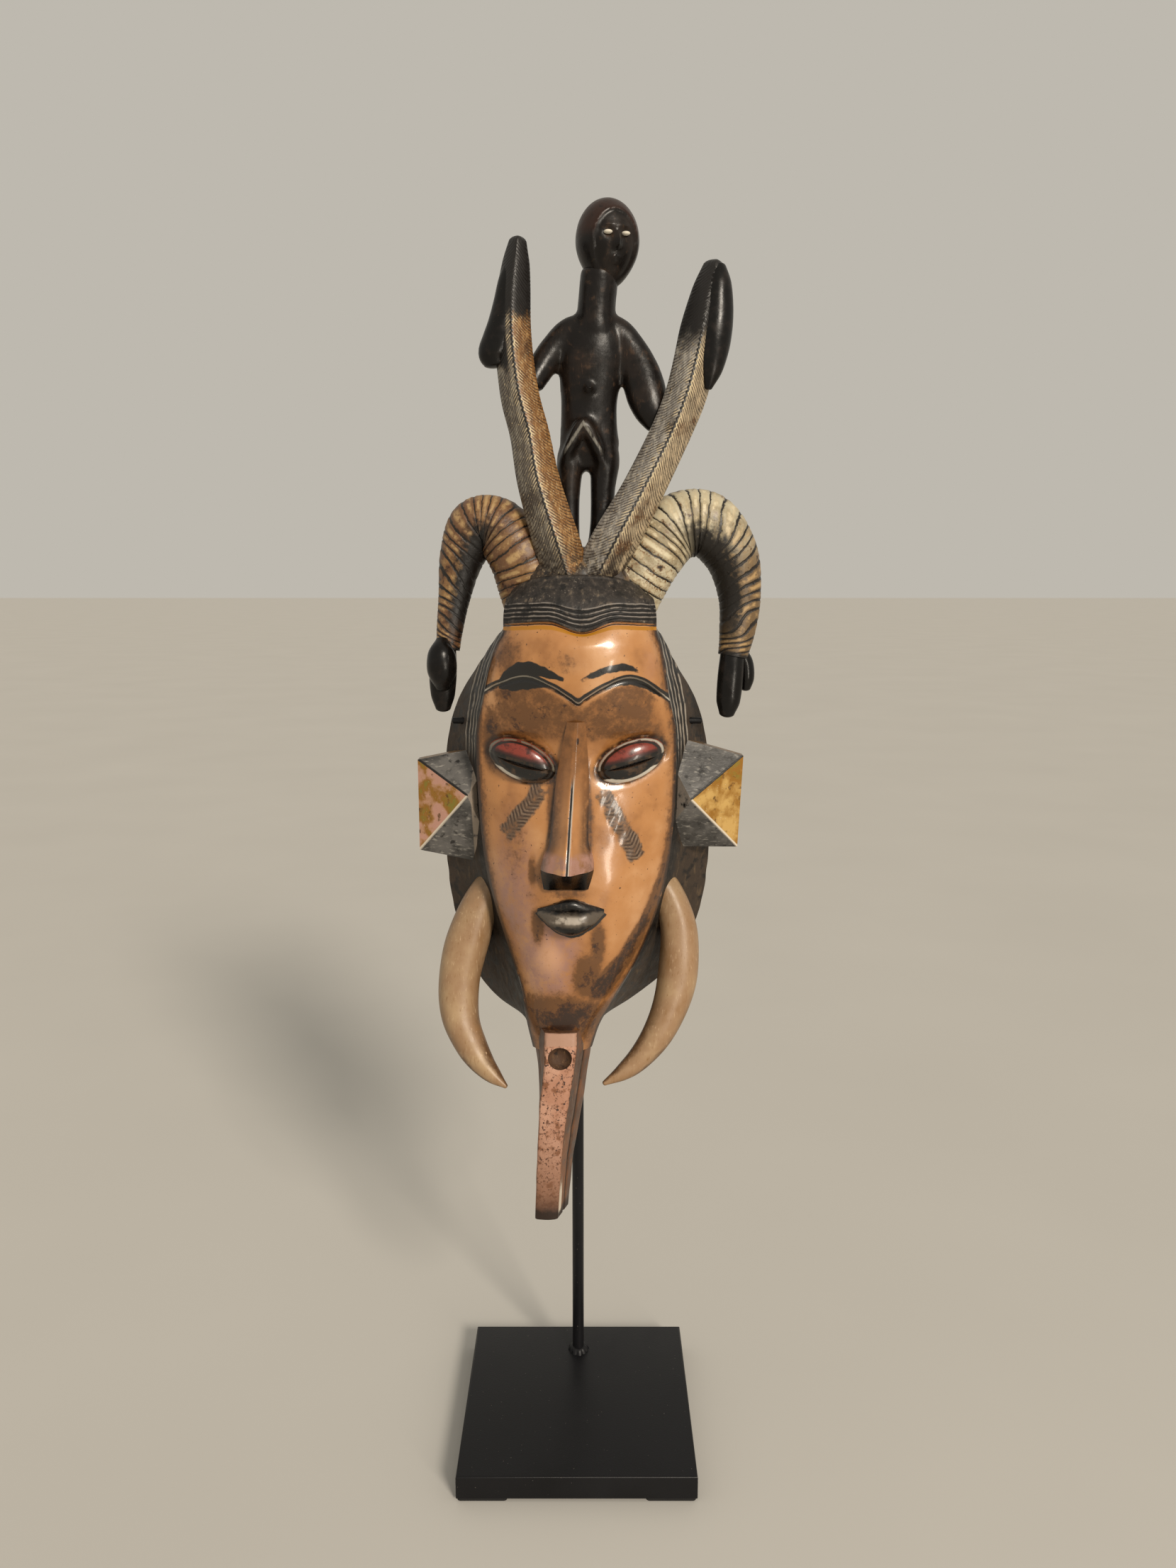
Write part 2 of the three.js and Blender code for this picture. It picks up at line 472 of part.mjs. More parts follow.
function padMeshes() {
  const reach = PLATE_SIDE / 2 - PAD_INSET - PAD_SIDE / 2;
  const places = { front_left: [-1, -1], front_right: [1, -1], back_left: [-1, 1], back_right: [1, 1] };
  return Object.entries(places).map(([name, [sx, sy]]) => {
    const geometry = new THREE.BoxGeometry(PAD_SIDE, PAD_SIDE, PAD_THICKNESS);
    const mesh = new THREE.Mesh(geometry, new THREE.MeshStandardMaterial(PAD_RUBBER));
    mesh.name = `foot_pad_${name}`;
    mesh.position.set(sx * reach, sy * reach, PAD_THICKNESS / 2);
    return mesh;
  });
}

// The post with the weld bead round its foot. Its top reaches past the bar that is welded to its front.
function postMesh() {
  const height = barZ + POST_ABOVE_BAR - plateTop;
  const profile = [[0, 0], [WELD_RADIUS, 0], [WELD_RADIUS * 0.86, WELD_HEIGHT * 0.55], [POST_RADIUS, WELD_HEIGHT],
    [POST_RADIUS, height - 1], [POST_RADIUS - 1, height], [0, height]];
  const geometry = new THREE.LatheGeometry(profile.map(([r, y]) => new THREE.Vector2(r, y)), 20);
  geometry.rotateX(Math.PI / 2);
  const mesh = new THREE.Mesh(geometryOf(solidOf(geometry)), new THREE.MeshStandardMaterial(BLACK_STEEL));
  mesh.name = 'post';
  mesh.position.set(0, postY, plateTop);
  return mesh;
}

// The cross bar through the holes in the mask's sides, with the stub that joins it to the post.
function barMesh() {
  const stubLength = postY - POST_RADIUS - FIT_GAP - barY;
  const bar = solidOf(round(BAR_RADIUS, 2 * barHalfLength, 16).rotateZ(Math.PI / 2));
  const stub = solidOf(round(BAR_RADIUS * 1.25, stubLength, 16).translate(0, stubLength / 2, 0));
  const mesh = new THREE.Mesh(geometryOf(bar.add(stub)), new THREE.MeshStandardMaterial(BLACK_STEEL));
  mesh.name = 'cross_bar';
  mesh.position.set(0, barY, barZ);
  return mesh;
}

const model = new THREE.Group();
model.add(maskMesh(), plateMesh(), ...padMeshes(), postMesh(), barMesh());

// The horns reach further to the right than the ear does to the left, and the origin is under the box's middle.
const wholeBox = new THREE.Box3().setFromObject(model, true);
for (const mesh of model.children) mesh.position.x -= (wholeBox.min.x + wholeBox.max.x) / 2;

export default model;
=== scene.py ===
import math
import bmesh
import bpy
import numpy as np
from mathutils import Matrix, Vector


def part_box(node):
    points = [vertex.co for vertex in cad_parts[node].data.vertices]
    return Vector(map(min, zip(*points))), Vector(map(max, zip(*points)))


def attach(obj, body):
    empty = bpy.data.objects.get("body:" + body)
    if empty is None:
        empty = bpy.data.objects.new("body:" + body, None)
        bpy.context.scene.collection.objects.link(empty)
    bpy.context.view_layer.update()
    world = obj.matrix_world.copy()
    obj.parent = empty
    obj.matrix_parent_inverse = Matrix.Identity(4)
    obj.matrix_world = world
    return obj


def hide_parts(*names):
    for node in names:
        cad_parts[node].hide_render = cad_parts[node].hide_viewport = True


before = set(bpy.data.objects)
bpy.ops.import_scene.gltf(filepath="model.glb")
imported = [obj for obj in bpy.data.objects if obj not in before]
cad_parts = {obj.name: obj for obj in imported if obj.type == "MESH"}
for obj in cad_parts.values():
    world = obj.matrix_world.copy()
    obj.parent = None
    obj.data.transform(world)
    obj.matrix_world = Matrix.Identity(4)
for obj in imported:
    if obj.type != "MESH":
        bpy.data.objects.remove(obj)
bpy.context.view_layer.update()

# What a new file starts with is taken away.
for name in ("Cube", "Light", "Camera"):
    if name in bpy.data.objects:
        bpy.data.objects.remove(bpy.data.objects[name], do_unlink=True)

# The studio: a wide pale floor under an even pale sky, a soft key light high on the right, and a narrow
# strip low on the right that draws long reflections on the paint. The camera is a little above the mask's
# eyes and looks slightly down. The bar's middle is the place that the camera and the whole mask are
# measured from.
MM = 0.001
BAR_RADIUS = 2.0
LAMPS_AIM_AT = Vector((0, 0, 0.45))
CAMERA_FROM_BAR = Vector((0.007, -0.7511, 0.0880))
CAMERA_DOWN_DEGREES, CAMERA_LENS = 9.77, 27.03
bar_low, bar_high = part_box("cross_bar")
bar_middle = Vector(((bar_low.x + bar_high.x) / 2, bar_low.y + BAR_RADIUS * MM,
    (bar_low.z + bar_high.z) / 2))


def linear(colour):
    """An sRGB hex colour as linear values."""
    parts = [int(colour[i : i + 2], 16) / 255 for i in (1, 3, 5)]
    return (*[p / 12.92 if p <= 0.04045 else ((p + 0.055) / 1.055) ** 2.4 for p in parts], 1.0)


def finish_for(name):
    """A new material, its node tree and its shader."""
    made = bpy.data.materials.new(name)
    made.use_nodes = True
    return made, made.node_tree, made.node_tree.nodes["Principled BSDF"]


def add_node(tree, kind, settings=(), sockets=()):
    """Adds a node, sets its settings, and gives each socket a value or a link."""
    made = tree.nodes.new("ShaderNode" + kind)
    for name, value in dict(settings).items():
        setattr(made, name, value)
    for name, value in dict(sockets).items():
        if isinstance(value, bpy.types.NodeSocket):
            tree.links.new(value, made.inputs[name])
        else:
            made.inputs[name].default_value = value
    return made


# Matt seamless studio floor: pale warm grey, with a very faint unevenness.
floor_finish, tree, shader = finish_for("matt pale floor paint")
place = add_node(tree, "TexCoord").outputs["Object"]
drift = add_node(tree, "TexNoise", sockets={"Vector": place, "Scale": 3.0, "Detail": 3.0}).outputs["Fac"]
tone = add_node(tree, "Mix", {"data_type": "RGBA"}, {0: drift, 6: linear("#C0BDB7"), 7: linear("#C7C4BE")})
tree.links.new(tone.outputs[2], shader.inputs["Base Color"])
shader.inputs["Roughness"].default_value = 0.9
shader.inputs["Specular IOR Level"].default_value = 0.1

bpy.ops.object.select_all(action="DESELECT")
bpy.ops.mesh.primitive_plane_add(size=80, location=(0, 0, 0))
floor = bpy.context.object
floor.name = "floor"
floor.data.materials.append(floor_finish)

sky = bpy.data.worlds.new("studio air")
bpy.context.scene.world = sky
sky.use_nodes = True
sky.node_tree.nodes["Background"].inputs["Color"].default_value = linear("#BEB9AF")
sky.node_tree.nodes["Background"].inputs["Strength"].default_value = 1.0
bpy.context.scene.view_settings.view_transform = "Standard"


def light_from(name, kind, spot, energy, **settings):
    """A lamp at a place, turned to the mask's middle."""
    lamp = bpy.data.lights.new(name, kind)
    lamp.energy = energy
    lamp.color = linear("#FFF4E4")[:3]
    for key, value in settings.items():
        setattr(lamp, key, value)
    holder = bpy.data.objects.new(name, lamp)
    bpy.context.collection.objects.link(holder)
    holder.location = spot
    holder.rotation_euler = (LAMPS_AIM_AT - holder.location).to_track_quat("-Z", "Y").to_euler()


light_from("key light", "SUN", (0.72, -1.40, 1.35), 2.35, angle=math.radians(13))
light_from("strip light", "AREA", (0.62, -1.05, 0.42), 2.6, shape="RECTANGLE", size=0.10, size_y=0.38)

lens = bpy.data.cameras.new("camera")
lens.sensor_width = 36
lens.sensor_fit = "AUTO"
lens.lens = CAMERA_LENS
camera = bpy.data.objects.new("camera", lens)
bpy.context.collection.objects.link(camera)
camera.location = bar_middle + CAMERA_FROM_BAR
camera.rotation_euler = (math.radians(90 - CAMERA_DOWN_DEGREES), 0, 0)
bpy.context.scene.camera = camera


# The plate: a 150 mm square of 15 mm mild steel with its top edges eased, powder-coated satin black. It
# carries the post, which is welded to it, and stands on four pads.
def settle(piece, *nodes, slot, finishes):
    """Gives a finished piece its finishes and its body, and hides the nodes that it stands for. The slot is
    not used.
    """
    piece.data.materials.clear()
    for finish in finishes:
        piece.data.materials.append(finish)
    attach(piece, "root")
    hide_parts(*nodes)


def box_between(name, low, high):
    """A plain block between two corners, its place in its mesh."""
    bpy.ops.object.select_all(action="DESELECT")
    bpy.ops.mesh.primitive_cube_add(size=1, location=(low + high) / 2)
    made = bpy.context.object
    made.name = name
    made.scale = high - low
    bpy.ops.object.transform_apply(location=True, rotation=True, scale=True)
    return made


def choose(piece):
    """Makes the piece the only one that the next step works on."""
    bpy.ops.object.select_all(action="DESELECT")
    bpy.context.view_layer.objects.active = piece
    piece.select_set(True)


def ease_edges(piece, chosen, width, segments):
    """Bevels the edges that the test picks."""
    bpy.context.view_layer.objects.active = piece
    bpy.ops.object.mode_set(mode="EDIT")
    bpy.ops.mesh.select_all(action="DESELECT")
    mesh = bmesh.from_edit_mesh(piece.data)
    bpy.context.tool_settings.mesh_select_mode = (False, True, False)
    for edge in mesh.edges:
        edge.select_set(chosen(edge.verts[0].co, edge.verts[1].co))
    bmesh.update_edit_mesh(piece.data)
    bpy.ops.mesh.bevel(offset=width, segments=segments, affect="EDGES")
    bpy.ops.object.mode_set(mode="OBJECT")


def black_coat(name, grain_mm, speck_share):
    """Black powder coat over steel: satin, slightly pebbled like orange peel, with a little pale
    dust on it."""
    made, tree, shader = finish_for(name)
    place = add_node(tree, "TexCoord").outputs["Object"]
    noises = ((grain_mm, 2.0), (40, 5.0), (1.6, 1.0))
    peel, cloud, specks = (
        add_node(tree, "TexNoise", sockets={"Vector": place, "Scale": 1000 / size,
            "Detail": detail}).outputs["Fac"]
        for size, detail in noises)
    dust = add_node(tree, "MapRange", sockets={0: specks, 1: 1 - speck_share,
        2: 1.02 - speck_share}).outputs[0]
    coat = add_node(tree, "Mix", {"data_type": "RGBA"},
        {0: cloud, 6: linear("#0B0B0C"), 7: linear("#17171A")})
    dusty = add_node(tree, "Mix", {"data_type": "RGBA"},
        {0: dust, 6: coat.outputs[2], 7: linear("#4A4743")})
    tree.links.new(dusty.outputs[2], shader.inputs["Base Color"])
    sheen = add_node(tree, "MapRange", sockets={0: cloud, 1: 0.3, 2: 0.7, 3: 0.3, 4: 0.46}).outputs[0]
    tree.links.new(sheen, shader.inputs["Roughness"])
    bump = add_node(tree, "Bump", sockets={"Height": peel, "Strength": 0.12, "Distance": 0.0006}).outputs[0]
    tree.links.new(bump, shader.inputs["Normal"])
    shader.inputs["Specular IOR Level"].default_value = 0.25
    return made


PLATE_CHAMFER = 1.5
plate_low, plate_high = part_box("base_plate")
plate = box_between("plate", plate_low, plate_high)
ease_edges(plate, lambda a, b: min(a.z, b.z) > plate_high.z - 1e-5, PLATE_CHAMFER * MM, 3)
ease_edges(plate, lambda a, b: abs(a.z - b.z) > 0.01, 0.5 * MM, 2)
bpy.ops.object.shade_smooth_by_angle(angle=math.radians(35))
powder_coat = black_coat("satin black powder coat", grain_mm=0.9, speck_share=0.24)
settle(plate, "base_plate", slot="black_steel", finishes=[powder_coat])


# The pads: four thin squares of black cellular rubber with rounded edges, cut from sheet and stuck under
# the plate's corners.
rubber, tree, shader = finish_for("black cellular rubber")
place = add_node(tree, "TexCoord").outputs["Object"]
cells = add_node(tree, "TexVoronoi", sockets={"Vector": place, "Scale": 1000 / 0.8}).outputs["Distance"]
worn = add_node(tree, "TexNoise", sockets={"Vector": place, "Scale": 1000 / 9,
    "Detail": 4.0}).outputs["Fac"]
tone = add_node(tree, "Mix", {"data_type": "RGBA"}, {0: worn, 6: linear("#0A0A0B"), 7: linear("#1C1B1A")})
tree.links.new(tone.outputs[2], shader.inputs["Base Color"])
pores = add_node(tree, "Bump", sockets={"Height": cells, "Strength": 0.4, "Distance": 0.0004}).outputs[0]
tree.links.new(pores, shader.inputs["Normal"])
shader.inputs["Roughness"].default_value = 0.88

for corner in ("front_left", "front_right", "back_left", "back_right"):
    pad = box_between("pad_" + corner, *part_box("foot_pad_" + corner))
    ease_edges(pad, lambda a, b: abs(a.z - b.z) > 0.001, 2.0 * MM, 4)
    ease_edges(pad, lambda a, b: abs(a.z - b.z) < 0.0001, 0.35 * MM, 2)
    bpy.ops.object.shade_smooth_by_angle(angle=math.radians(40))
    settle(pad, "foot_pad_" + corner, slot="pad_rubber", finishes=[rubber])


# The post: 8 mm round steel bar, stood on the plate and held by a hand-laid ring of weld. The weld's lumps
# show through the black coat.
POST_RADIUS, WELD_RADIUS, WELD_HEIGHT = 4.0, 7.4, 3.6
post_low, post_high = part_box("post")
post_x, post_y = (post_low.x + post_high.x) / 2, (post_low.y + post_high.y) / 2


def turned(name, profile, sides, lumps=None):
    """A closed solid turned about the upright axis from (radius, height) rows in millimetres."""
    rows = np.array(profile, float)
    angle = np.linspace(0, 2 * math.pi, sides, endpoint=False)
    reach = rows[:, :1] * (lumps(angle, rows[:, 1:]) if lumps else 1)
    grid = np.stack([reach * np.cos(angle), reach * np.sin(angle), rows[:, 1:] + 0 * angle], axis=2)
    points = [tuple(p) for p in grid.reshape(-1, 3)]
    count = len(rows)
    faces = [
        (r * sides + i, r * sides + (i + 1) % sides, (r + 1) * sides + (i + 1) % sides, (r + 1) * sides + i)
        for r in range(count - 1)
        for i in range(sides)
    ]
    faces += [tuple(range(sides))[::-1], tuple((count - 1) * sides + i for i in range(sides))]
    mesh = bpy.data.meshes.new(name)
    mesh.from_pydata(points, [], faces)
    made = bpy.data.objects.new(name, mesh)
    bpy.context.collection.objects.link(made)
    return made


def weld_lumps(angle, height):
    """How the bead bulges and sags round the post: about a dozen uneven drops."""
    share = np.clip(1 - height / WELD_HEIGHT, 0, 1)
    drops = np.abs(np.sin(5.5 * angle + 0.5 * np.sin(2 * angle))) ** 0.7
    sag = 0.05 * np.sin(angle + 0.6) + 0.04 * np.sin(3 * angle)
    return 1 + share**0.5 * (0.16 * drops - 0.14 + sag)


post_height = (post_high.z - post_low.z) / MM
weld_rows = [
    (POST_RADIUS + (WELD_RADIUS - POST_RADIUS) * (1 - t) ** 0.75, WELD_HEIGHT * math.sin(t * math.pi / 2))
    for t in np.linspace(0, 1, 9)
]
top_rows = [(POST_RADIUS - 1 + math.cos(a), post_height - 1 + math.sin(a))
    for a in np.linspace(0, math.pi / 2, 5)]
shaft_rows = [(POST_RADIUS, z) for z in np.linspace(WELD_HEIGHT + 2, post_height - 4, 24)]
post = turned("post_and_weld", weld_rows + shaft_rows + top_rows, 64, weld_lumps)
post.data.transform(Matrix.LocRotScale((post_x, post_y, post_low.z), None, (MM, MM, MM)))
choose(post)
bpy.ops.object.shade_smooth_by_angle(angle=math.radians(35))
settle(post, "post", slot="black_steel", finishes=[powder_coat])


# The cross bar: 4 mm round bar with eased ends, through a hole in each side of the mask, and the short stub
# behind its middle that is welded to the post.
def bar_between(name, start, end, radius, ease):
    """A round bar with eased ends between two points in millimetres from the bar's middle."""
    start, end = Vector(start), Vector(end)
    length = (end - start).length
    rows = [(radius - ease, 0), (radius, ease), (radius, length - ease), (radius - ease, length)]
    made = turned(name, rows, 32)
    turn = (end - start).to_track_quat("Z", "Y")
    made.data.transform(Matrix.LocRotScale(bar_middle + start * MM, turn, (MM, MM, MM)))
    return made


bar_half = (bar_high.x - bar_low.x) / 2 / MM
bar = bar_between("bar_and_stub", (-bar_half, 0, 0), (bar_half, 0, 0), BAR_RADIUS, 0.5)
stub = bar_between("stub", (0, 0, 0), (0, (bar_high.y - bar_middle.y) / MM, 0), 2.5, 0.3)


def carve(block, tool, operation):
    """Unites a solid with the block, or cuts it away, and removes the tool."""
    cut = block.modifiers.new("cut", "BOOLEAN")
    cut.operation, cut.object, cut.solver = operation, tool, "MANIFOLD"
    choose(block)
    bpy.ops.object.modifier_apply(modifier=cut.name)
    bpy.data.objects.remove(tool, do_unlink=True)


carve(bar, stub, "UNION")
bpy.ops.object.shade_smooth_by_angle(angle=math.radians(35))
settle(bar, "cross_bar", slot="black_steel", finishes=[powder_coat])


# The mask: one block of light tropical hardwood, adzed and knifed to shape, hollowed behind and painted.
# Its parts are carved out of the block, so they are made as closed solids and united into one.
# x is to the right, d forwards and z up, in millimetres from the bar's middle.
RIM_TOP, RIM_MIDDLE, RIM_BOTTOM = 75.0, -65.0, -199.5
RIM_HALF_WIDTH, RIM_POWER, RIM_FLARE, RIM_DEPTH = 87.0, 2.5, 2.0, 10.0
WALL = 9.0
SHOULDER_SHAVED, SHOULDER_Z, SHOULDER_REACH = 5.5, 38.0, 22.0
HEAD_TOP, CHIN_BOTTOM = 90.0, -207.0
BROW_LEVEL, HAIR_LEVEL = 25.0, 70.0
mask_finishes = {
    key: finish_for(name)
    for key, name in {
        "face": "glossy orange paint over gesso",
        "hair": "worn black and grey paint on carved hair",
        "eye": "glossy red, white and black eye paint",
        "nose": "glossy orange paint on the nose",
        "mouth": "black and grey paint on the lips",
        "ear": "grey and gold painted pyramid",
        "tusk": "ivory coloured stain under wax",
        "trunk": "pink speckled paint over brown wood",
        "ram": "rubbed cream paint on ribbed horn",
        "tall": "ochre and grey wash on hatched horn",
        "black": "glossy black lacquer",
        "figure": "black stain polished with wax",
        "raw": "dark stained rough cut wood",
    }.items()
}
FINISHES = tuple(mask_finishes)


def through(*stations):
    """A smooth curve through (position, value) stations."""
    at, value = np.array(sorted(stations), float).T
    here = np.arange(len(at))
    after, before = np.minimum(here + 1, len(at) - 1), np.maximum(here - 1, 0)
    slope = (value[after] - value[before]) / (at[after] - at[before])

    def curve(x):
        x = np.clip(x, at[0], at[-1])
        i = np.clip(np.searchsorted(at, x, side="right") - 1, 0, len(at) - 2)
        h = at[i + 1] - at[i]
        t = (x - at[i]) / h
        start = (2 * t**3 - 3 * t**2 + 1) * value[i] + (t**3 - 2 * t**2 + t) * h * slope[i]
        return start + (3 * t**2 - 2 * t**3) * value[i + 1] + (t**3 - t**2) * h * slope[i + 1]

    return curve


def clamp01(v):
    return np.clip(v, 0.0, 1.0)


def ease(v):
    return clamp01(v) ** 2 * (3 - 2 * clamp01(v))


def bell(x, z, cx, cz, rx, rz):
    return np.exp(-(((x - cx) / rx) ** 2) - ((z - cz) / rz) ** 2)


def waver(x, y, z, size, seed=0.0):
    """A smooth unevenness between -1 and 1, as a hand tool leaves, whose waves are about `size` long."""
    k = 2 * math.pi / size
    a = np.sin(k * (x + 0.31 * y) + 1.7 * np.sin(0.61 * k * z + seed) + seed)
    b = np.sin(k * (0.83 * z - 0.27 * x) + 1.3 * np.sin(0.53 * k * y + 2 * seed) + 1.1)
    c = np.sin(k * (0.77 * y + 0.42 * z) + 1.9 * np.sin(0.47 * k * x + 3 * seed) + 2.3)
    return (a + b + c) / 3


def closed_solid(name, grid, finish, lines=None, marks=None, age_and_shade=None, ends=None):
    """A solid skinned over rows of rings, closed at both ends. finish is one name, or an index for each
    quad. lines, marks and age are three values for each point, which the paint follows."""
    rows, cols = grid.shape[:2]
    caps = np.stack([grid[0].mean(0), grid[-1].mean(0)])
    points = np.vstack([grid.reshape(-1, 3), caps]) * (1, -1, 1)
    r, c = np.meshgrid(np.arange(rows - 1), np.arange(cols), indexing="ij")
    r, c = r.ravel(), c.ravel()
    n = (c + 1) % cols
    quads = np.stack([r * cols + c, r * cols + n, (r + 1) * cols + n, (r + 1) * cols + c], 1)
    wide = cols + 1
    quad_marks = np.stack([r * wide + c, r * wide + c + 1, (r + 1) * wide + c + 1, (r + 1) * wide + c], 1)
    c = np.arange(cols)
    n = (c + 1) % cols
    low = np.stack([n, c, np.full(cols, rows * cols)], 1)
    low_marks = np.stack([c + 1, c, np.full(cols, rows * wide)], 1)
    base, wide_base = (rows - 1) * cols, (rows - 1) * wide
    high = np.stack([base + c, base + n, np.full(cols, rows * cols + 1)], 1)
    high_marks = np.stack([wide_base + c, wide_base + c + 1, np.full(cols, rows * wide + 1)], 1)
    corners = np.concatenate([quads.ravel(), low.ravel(), high.ravel()])
    corner_marks = np.concatenate([quad_marks.ravel(), low_marks.ravel(), high_marks.ravel()])
    sizes = np.concatenate([np.full(len(quads), 4), np.full(2 * cols, 3)])
    starts = np.concatenate([[0], np.cumsum(sizes)[:-1]])

    a, b, p, q = (points[quads[:, i]] - points.mean(0) for i in range(4))
    if np.einsum("ij,ij->i", a, np.cross(b, p) + np.cross(p, q)).sum() < 0:
        flip = np.concatenate([np.arange(s, s + k)[::-1] for s, k in zip(starts, sizes)])
        corners, corner_marks = corners[flip], corner_marks[flip]

    body = np.full(len(quads), FINISHES.index(finish)) if isinstance(finish, str) else finish.ravel()
    capped = ends or (FINISHES[body[0]], FINISHES[body[-1]])
    indices = np.concatenate([body, np.repeat([FINISHES.index(end) for end in capped], cols)])

    mesh = bpy.data.meshes.new(name)
    mesh.vertices.add(len(points))
    mesh.vertices.foreach_set("co", (points * MM + np.array(bar_middle)).astype(np.float32).ravel())
    mesh.loops.add(len(corners))
    mesh.loops.foreach_set("vertex_index", corners.astype(np.int32))
    mesh.polygons.add(len(sizes))
    mesh.polygons.foreach_set("loop_start", starts.astype(np.int32))
    mesh.polygons.foreach_set("material_index", indices.astype(np.int32))
    mesh.update(calc_edges=True)
    for key, field in (("lines", lines), ("marks", marks), ("age_and_shade", age_and_shade)):
        if field is None:
            field = np.zeros((rows, cols, 3))
        if field.shape[1] == cols:
            field = np.concatenate([field, field[:, :1]], axis=1)
        flat = np.vstack([field.reshape(-1, 3), field[0].mean(0), field[-1].mean(0)])
        layer = mesh.attributes.new(key, "FLOAT_VECTOR", "CORNER")
        layer.data.foreach_set("vector", flat[corner_marks].astype(np.float32).ravel())
    made = bpy.data.objects.new(name, mesh)
    bpy.context.collection.objects.link(made)
    for finish_name in FINISHES:
        made.data.materials.append(mask_finishes[finish_name][0])
    return made


def spine(stations, t):
    """Points and directions along a smooth path through the stations."""
    p = np.array(stations, float)[:, :3]
    p = np.vstack([2 * p[0] - p[1], p, 2 * p[-1] - p[-2]])
    s = np.clip(t, 0, 1) * (len(stations) - 1)
    i = np.minimum(s.astype(int), len(stations) - 2)
    w = (s - i)[:, None]
    p0, p1, p2, p3 = p[i], p[i + 1], p[i + 2], p[i + 3]
    d0, d1, d2 = (np.linalg.norm(b - a, axis=1)[:, None] ** 0.5 for a, b in ((p0, p1), (p1, p2), (p2, p3)))
    out = ((p1 - p0) / d0 - (p2 - p0) / (d0 + d1) + (p2 - p1) / d1) * d1
    into = ((p2 - p1) / d1 - (p3 - p1) / (d1 + d2) + (p3 - p2) / d2) * d1
    c2, c3 = -3 * p1 + 3 * p2 - 2 * out - into, 2 * p1 - 2 * p2 + out + into
    at = ((c3 * w + c2) * w + out) * w + p1
    along = (3 * c3 * w + 2 * c2) * w + out
    return at, along / np.linalg.norm(along, axis=1)[:, None]


def limb(stations, sides, count, squash=1.0, power=2.0, shape=None, dome=(0.0, 0.0)):
    """Rings along a path of (x, d, z, radius) stations, and each ring's share of the path and angles.
    shape(t, angle) changes the reach, and a dome rounds an end by that share of its radius."""
    t = np.linspace(0, 1, count + 1)
    at, along = spine(stations, t)
    reach = through(*[(i / (len(stations) - 1), row[3]) for i, row in enumerate(stations)])(t)
    for end, height in zip((0, -1), dome):
        if height:
            steps = np.sin(np.linspace(0.12, 0.46, 5) * math.pi)[:: 1 if end else -1]
            way = along[end] * (1 if end else -1)
            extra = at[end] + way * (steps * height * reach[end])[:, None]
            rim = reach[end] * np.sqrt(1 - steps**2)
            pack = [(at, extra), (along, np.repeat(along[end][None], 5, 0)), (reach, rim),
                (t, np.full(5, t[end]))]
            at, along, reach, t = (np.concatenate([a, b] if end else [b, a]) for a, b in pack)
    angle = np.linspace(0, 2 * math.pi, sides, endpoint=False)
    deep = np.array([0, 1.0, 0]) - along * along[:, 1:2]
    deep /= np.linalg.norm(deep, axis=1)[:, None]
    across = np.cross(along, deep)
    c, s = np.cos(angle), np.sin(angle)
    form = 1 / (np.abs(c) ** power + np.abs(s) ** power) ** (1 / power)
    size = reach[:, None] * form[None]
    tt, aa = np.meshgrid(t, angle, indexing="ij")
    if shape:
        size = size * shape(tt, aa)
    grid = at[:, None] + across[:, None] * (c * size)[..., None] + deep[:, None] * (s * size * squash)[...,
        None]
    return grid, tt, aa


def ways(t, angle):
    """For the paint of a limb: each point's share of the length, and its way across and forwards."""
    return np.stack([t, np.cos(angle), np.sin(angle)], 2)


def egg(cx, cd, cz, rx, rd, rz, sides=40, count=28):
    """Rings of an egg of the given half sizes, drawn in from pole to pole."""
    t = np.linspace(0.02, 0.98, count)[:, None] * math.pi
    angle = np.linspace(0, 2 * math.pi, sides, endpoint=False)[None]
    ring = np.sin(t)
    return np.stack([cx + rx * ring * np.cos(angle), cd + rd * ring * np.sin(angle),
        cz - rz * np.cos(t) + 0 * angle], 2)


# The face and the head behind it: a long smooth face whose brow and hair step forward, on flanks that sweep
# back to the flat rim. The grooves of the brow, of the hair band and of the side bands are cut with a
# gouge.
face_half_width = through((90, 41), (76, 45.5), (61, 46), (50, 49.5), (35, 54), (6, 60), (-24, 61.5),
    (-70, 59.5), (-103, 54.5), (-140, 43), (-170, 30.5), (-180, 27), (-192, 23), (-207, 19))
face_middle_depth = through((90, 38), (80, 51), (66, 60), (45, 66), (25, 65), (10, 61), (-10, 56),
    (-30, 54), (-60, 57), (-90, 60), (-115, 61), (-140, 58), (-170, 52), (-192, 49), (-207, 44))
face_edge_depth = through((90, 28), (70, 42), (45, 44), (15, 40), (-20, 34), (-60, 31), (-100, 30),
    (-140, 31), (-170, 34), (-207, 33))
face_lean = through((90, 2), (60, 2), (30, 0), (-110, 0), (-150, -1.5), (-171, -4.5), (-190, -8.5),
    (-207, -9.5))
EYE_X, EYE_Z, EYE_HALF_WIDTH, EYE_HALF_HEIGHT, EYE_SLANT, EYE_BALL = 33.0, -18.5, 20.5, 12.5, 0.27, 7.0
SCARS = (((-21.4, -35.8), (-43.2, -64.5)), ((16.2, -37.8), (37.1, -77.3)))
SCAR_HALF_WIDTH, SCAR_PITCH = 5.2, 2.7
HAIR_CUTS, SIDE_CUTS = (1.9, 3.7, 5.5, 7.4), (1.5, 3.6, 5.9, 8.4)
FACE_COLUMNS, FLANK_COLUMNS, BACK_COLUMNS = 98, 27, 6


brow_line = through((-60, 20), (-53, 24.5), (-47, 28), (-30, 33.5), (-14, 27.7), (-3, 20.6), (1.4, 17.6),
    (5, 20.2), (15.5, 26.8), (29, 32.3), (40, 30), (53, 20), (60, 14))


def hair_line(x):
    return 58.6 + 6 * ease(np.abs(x - 1.4) / 20) - 1.5 * clamp01((np.abs(x) - 24) / 20)


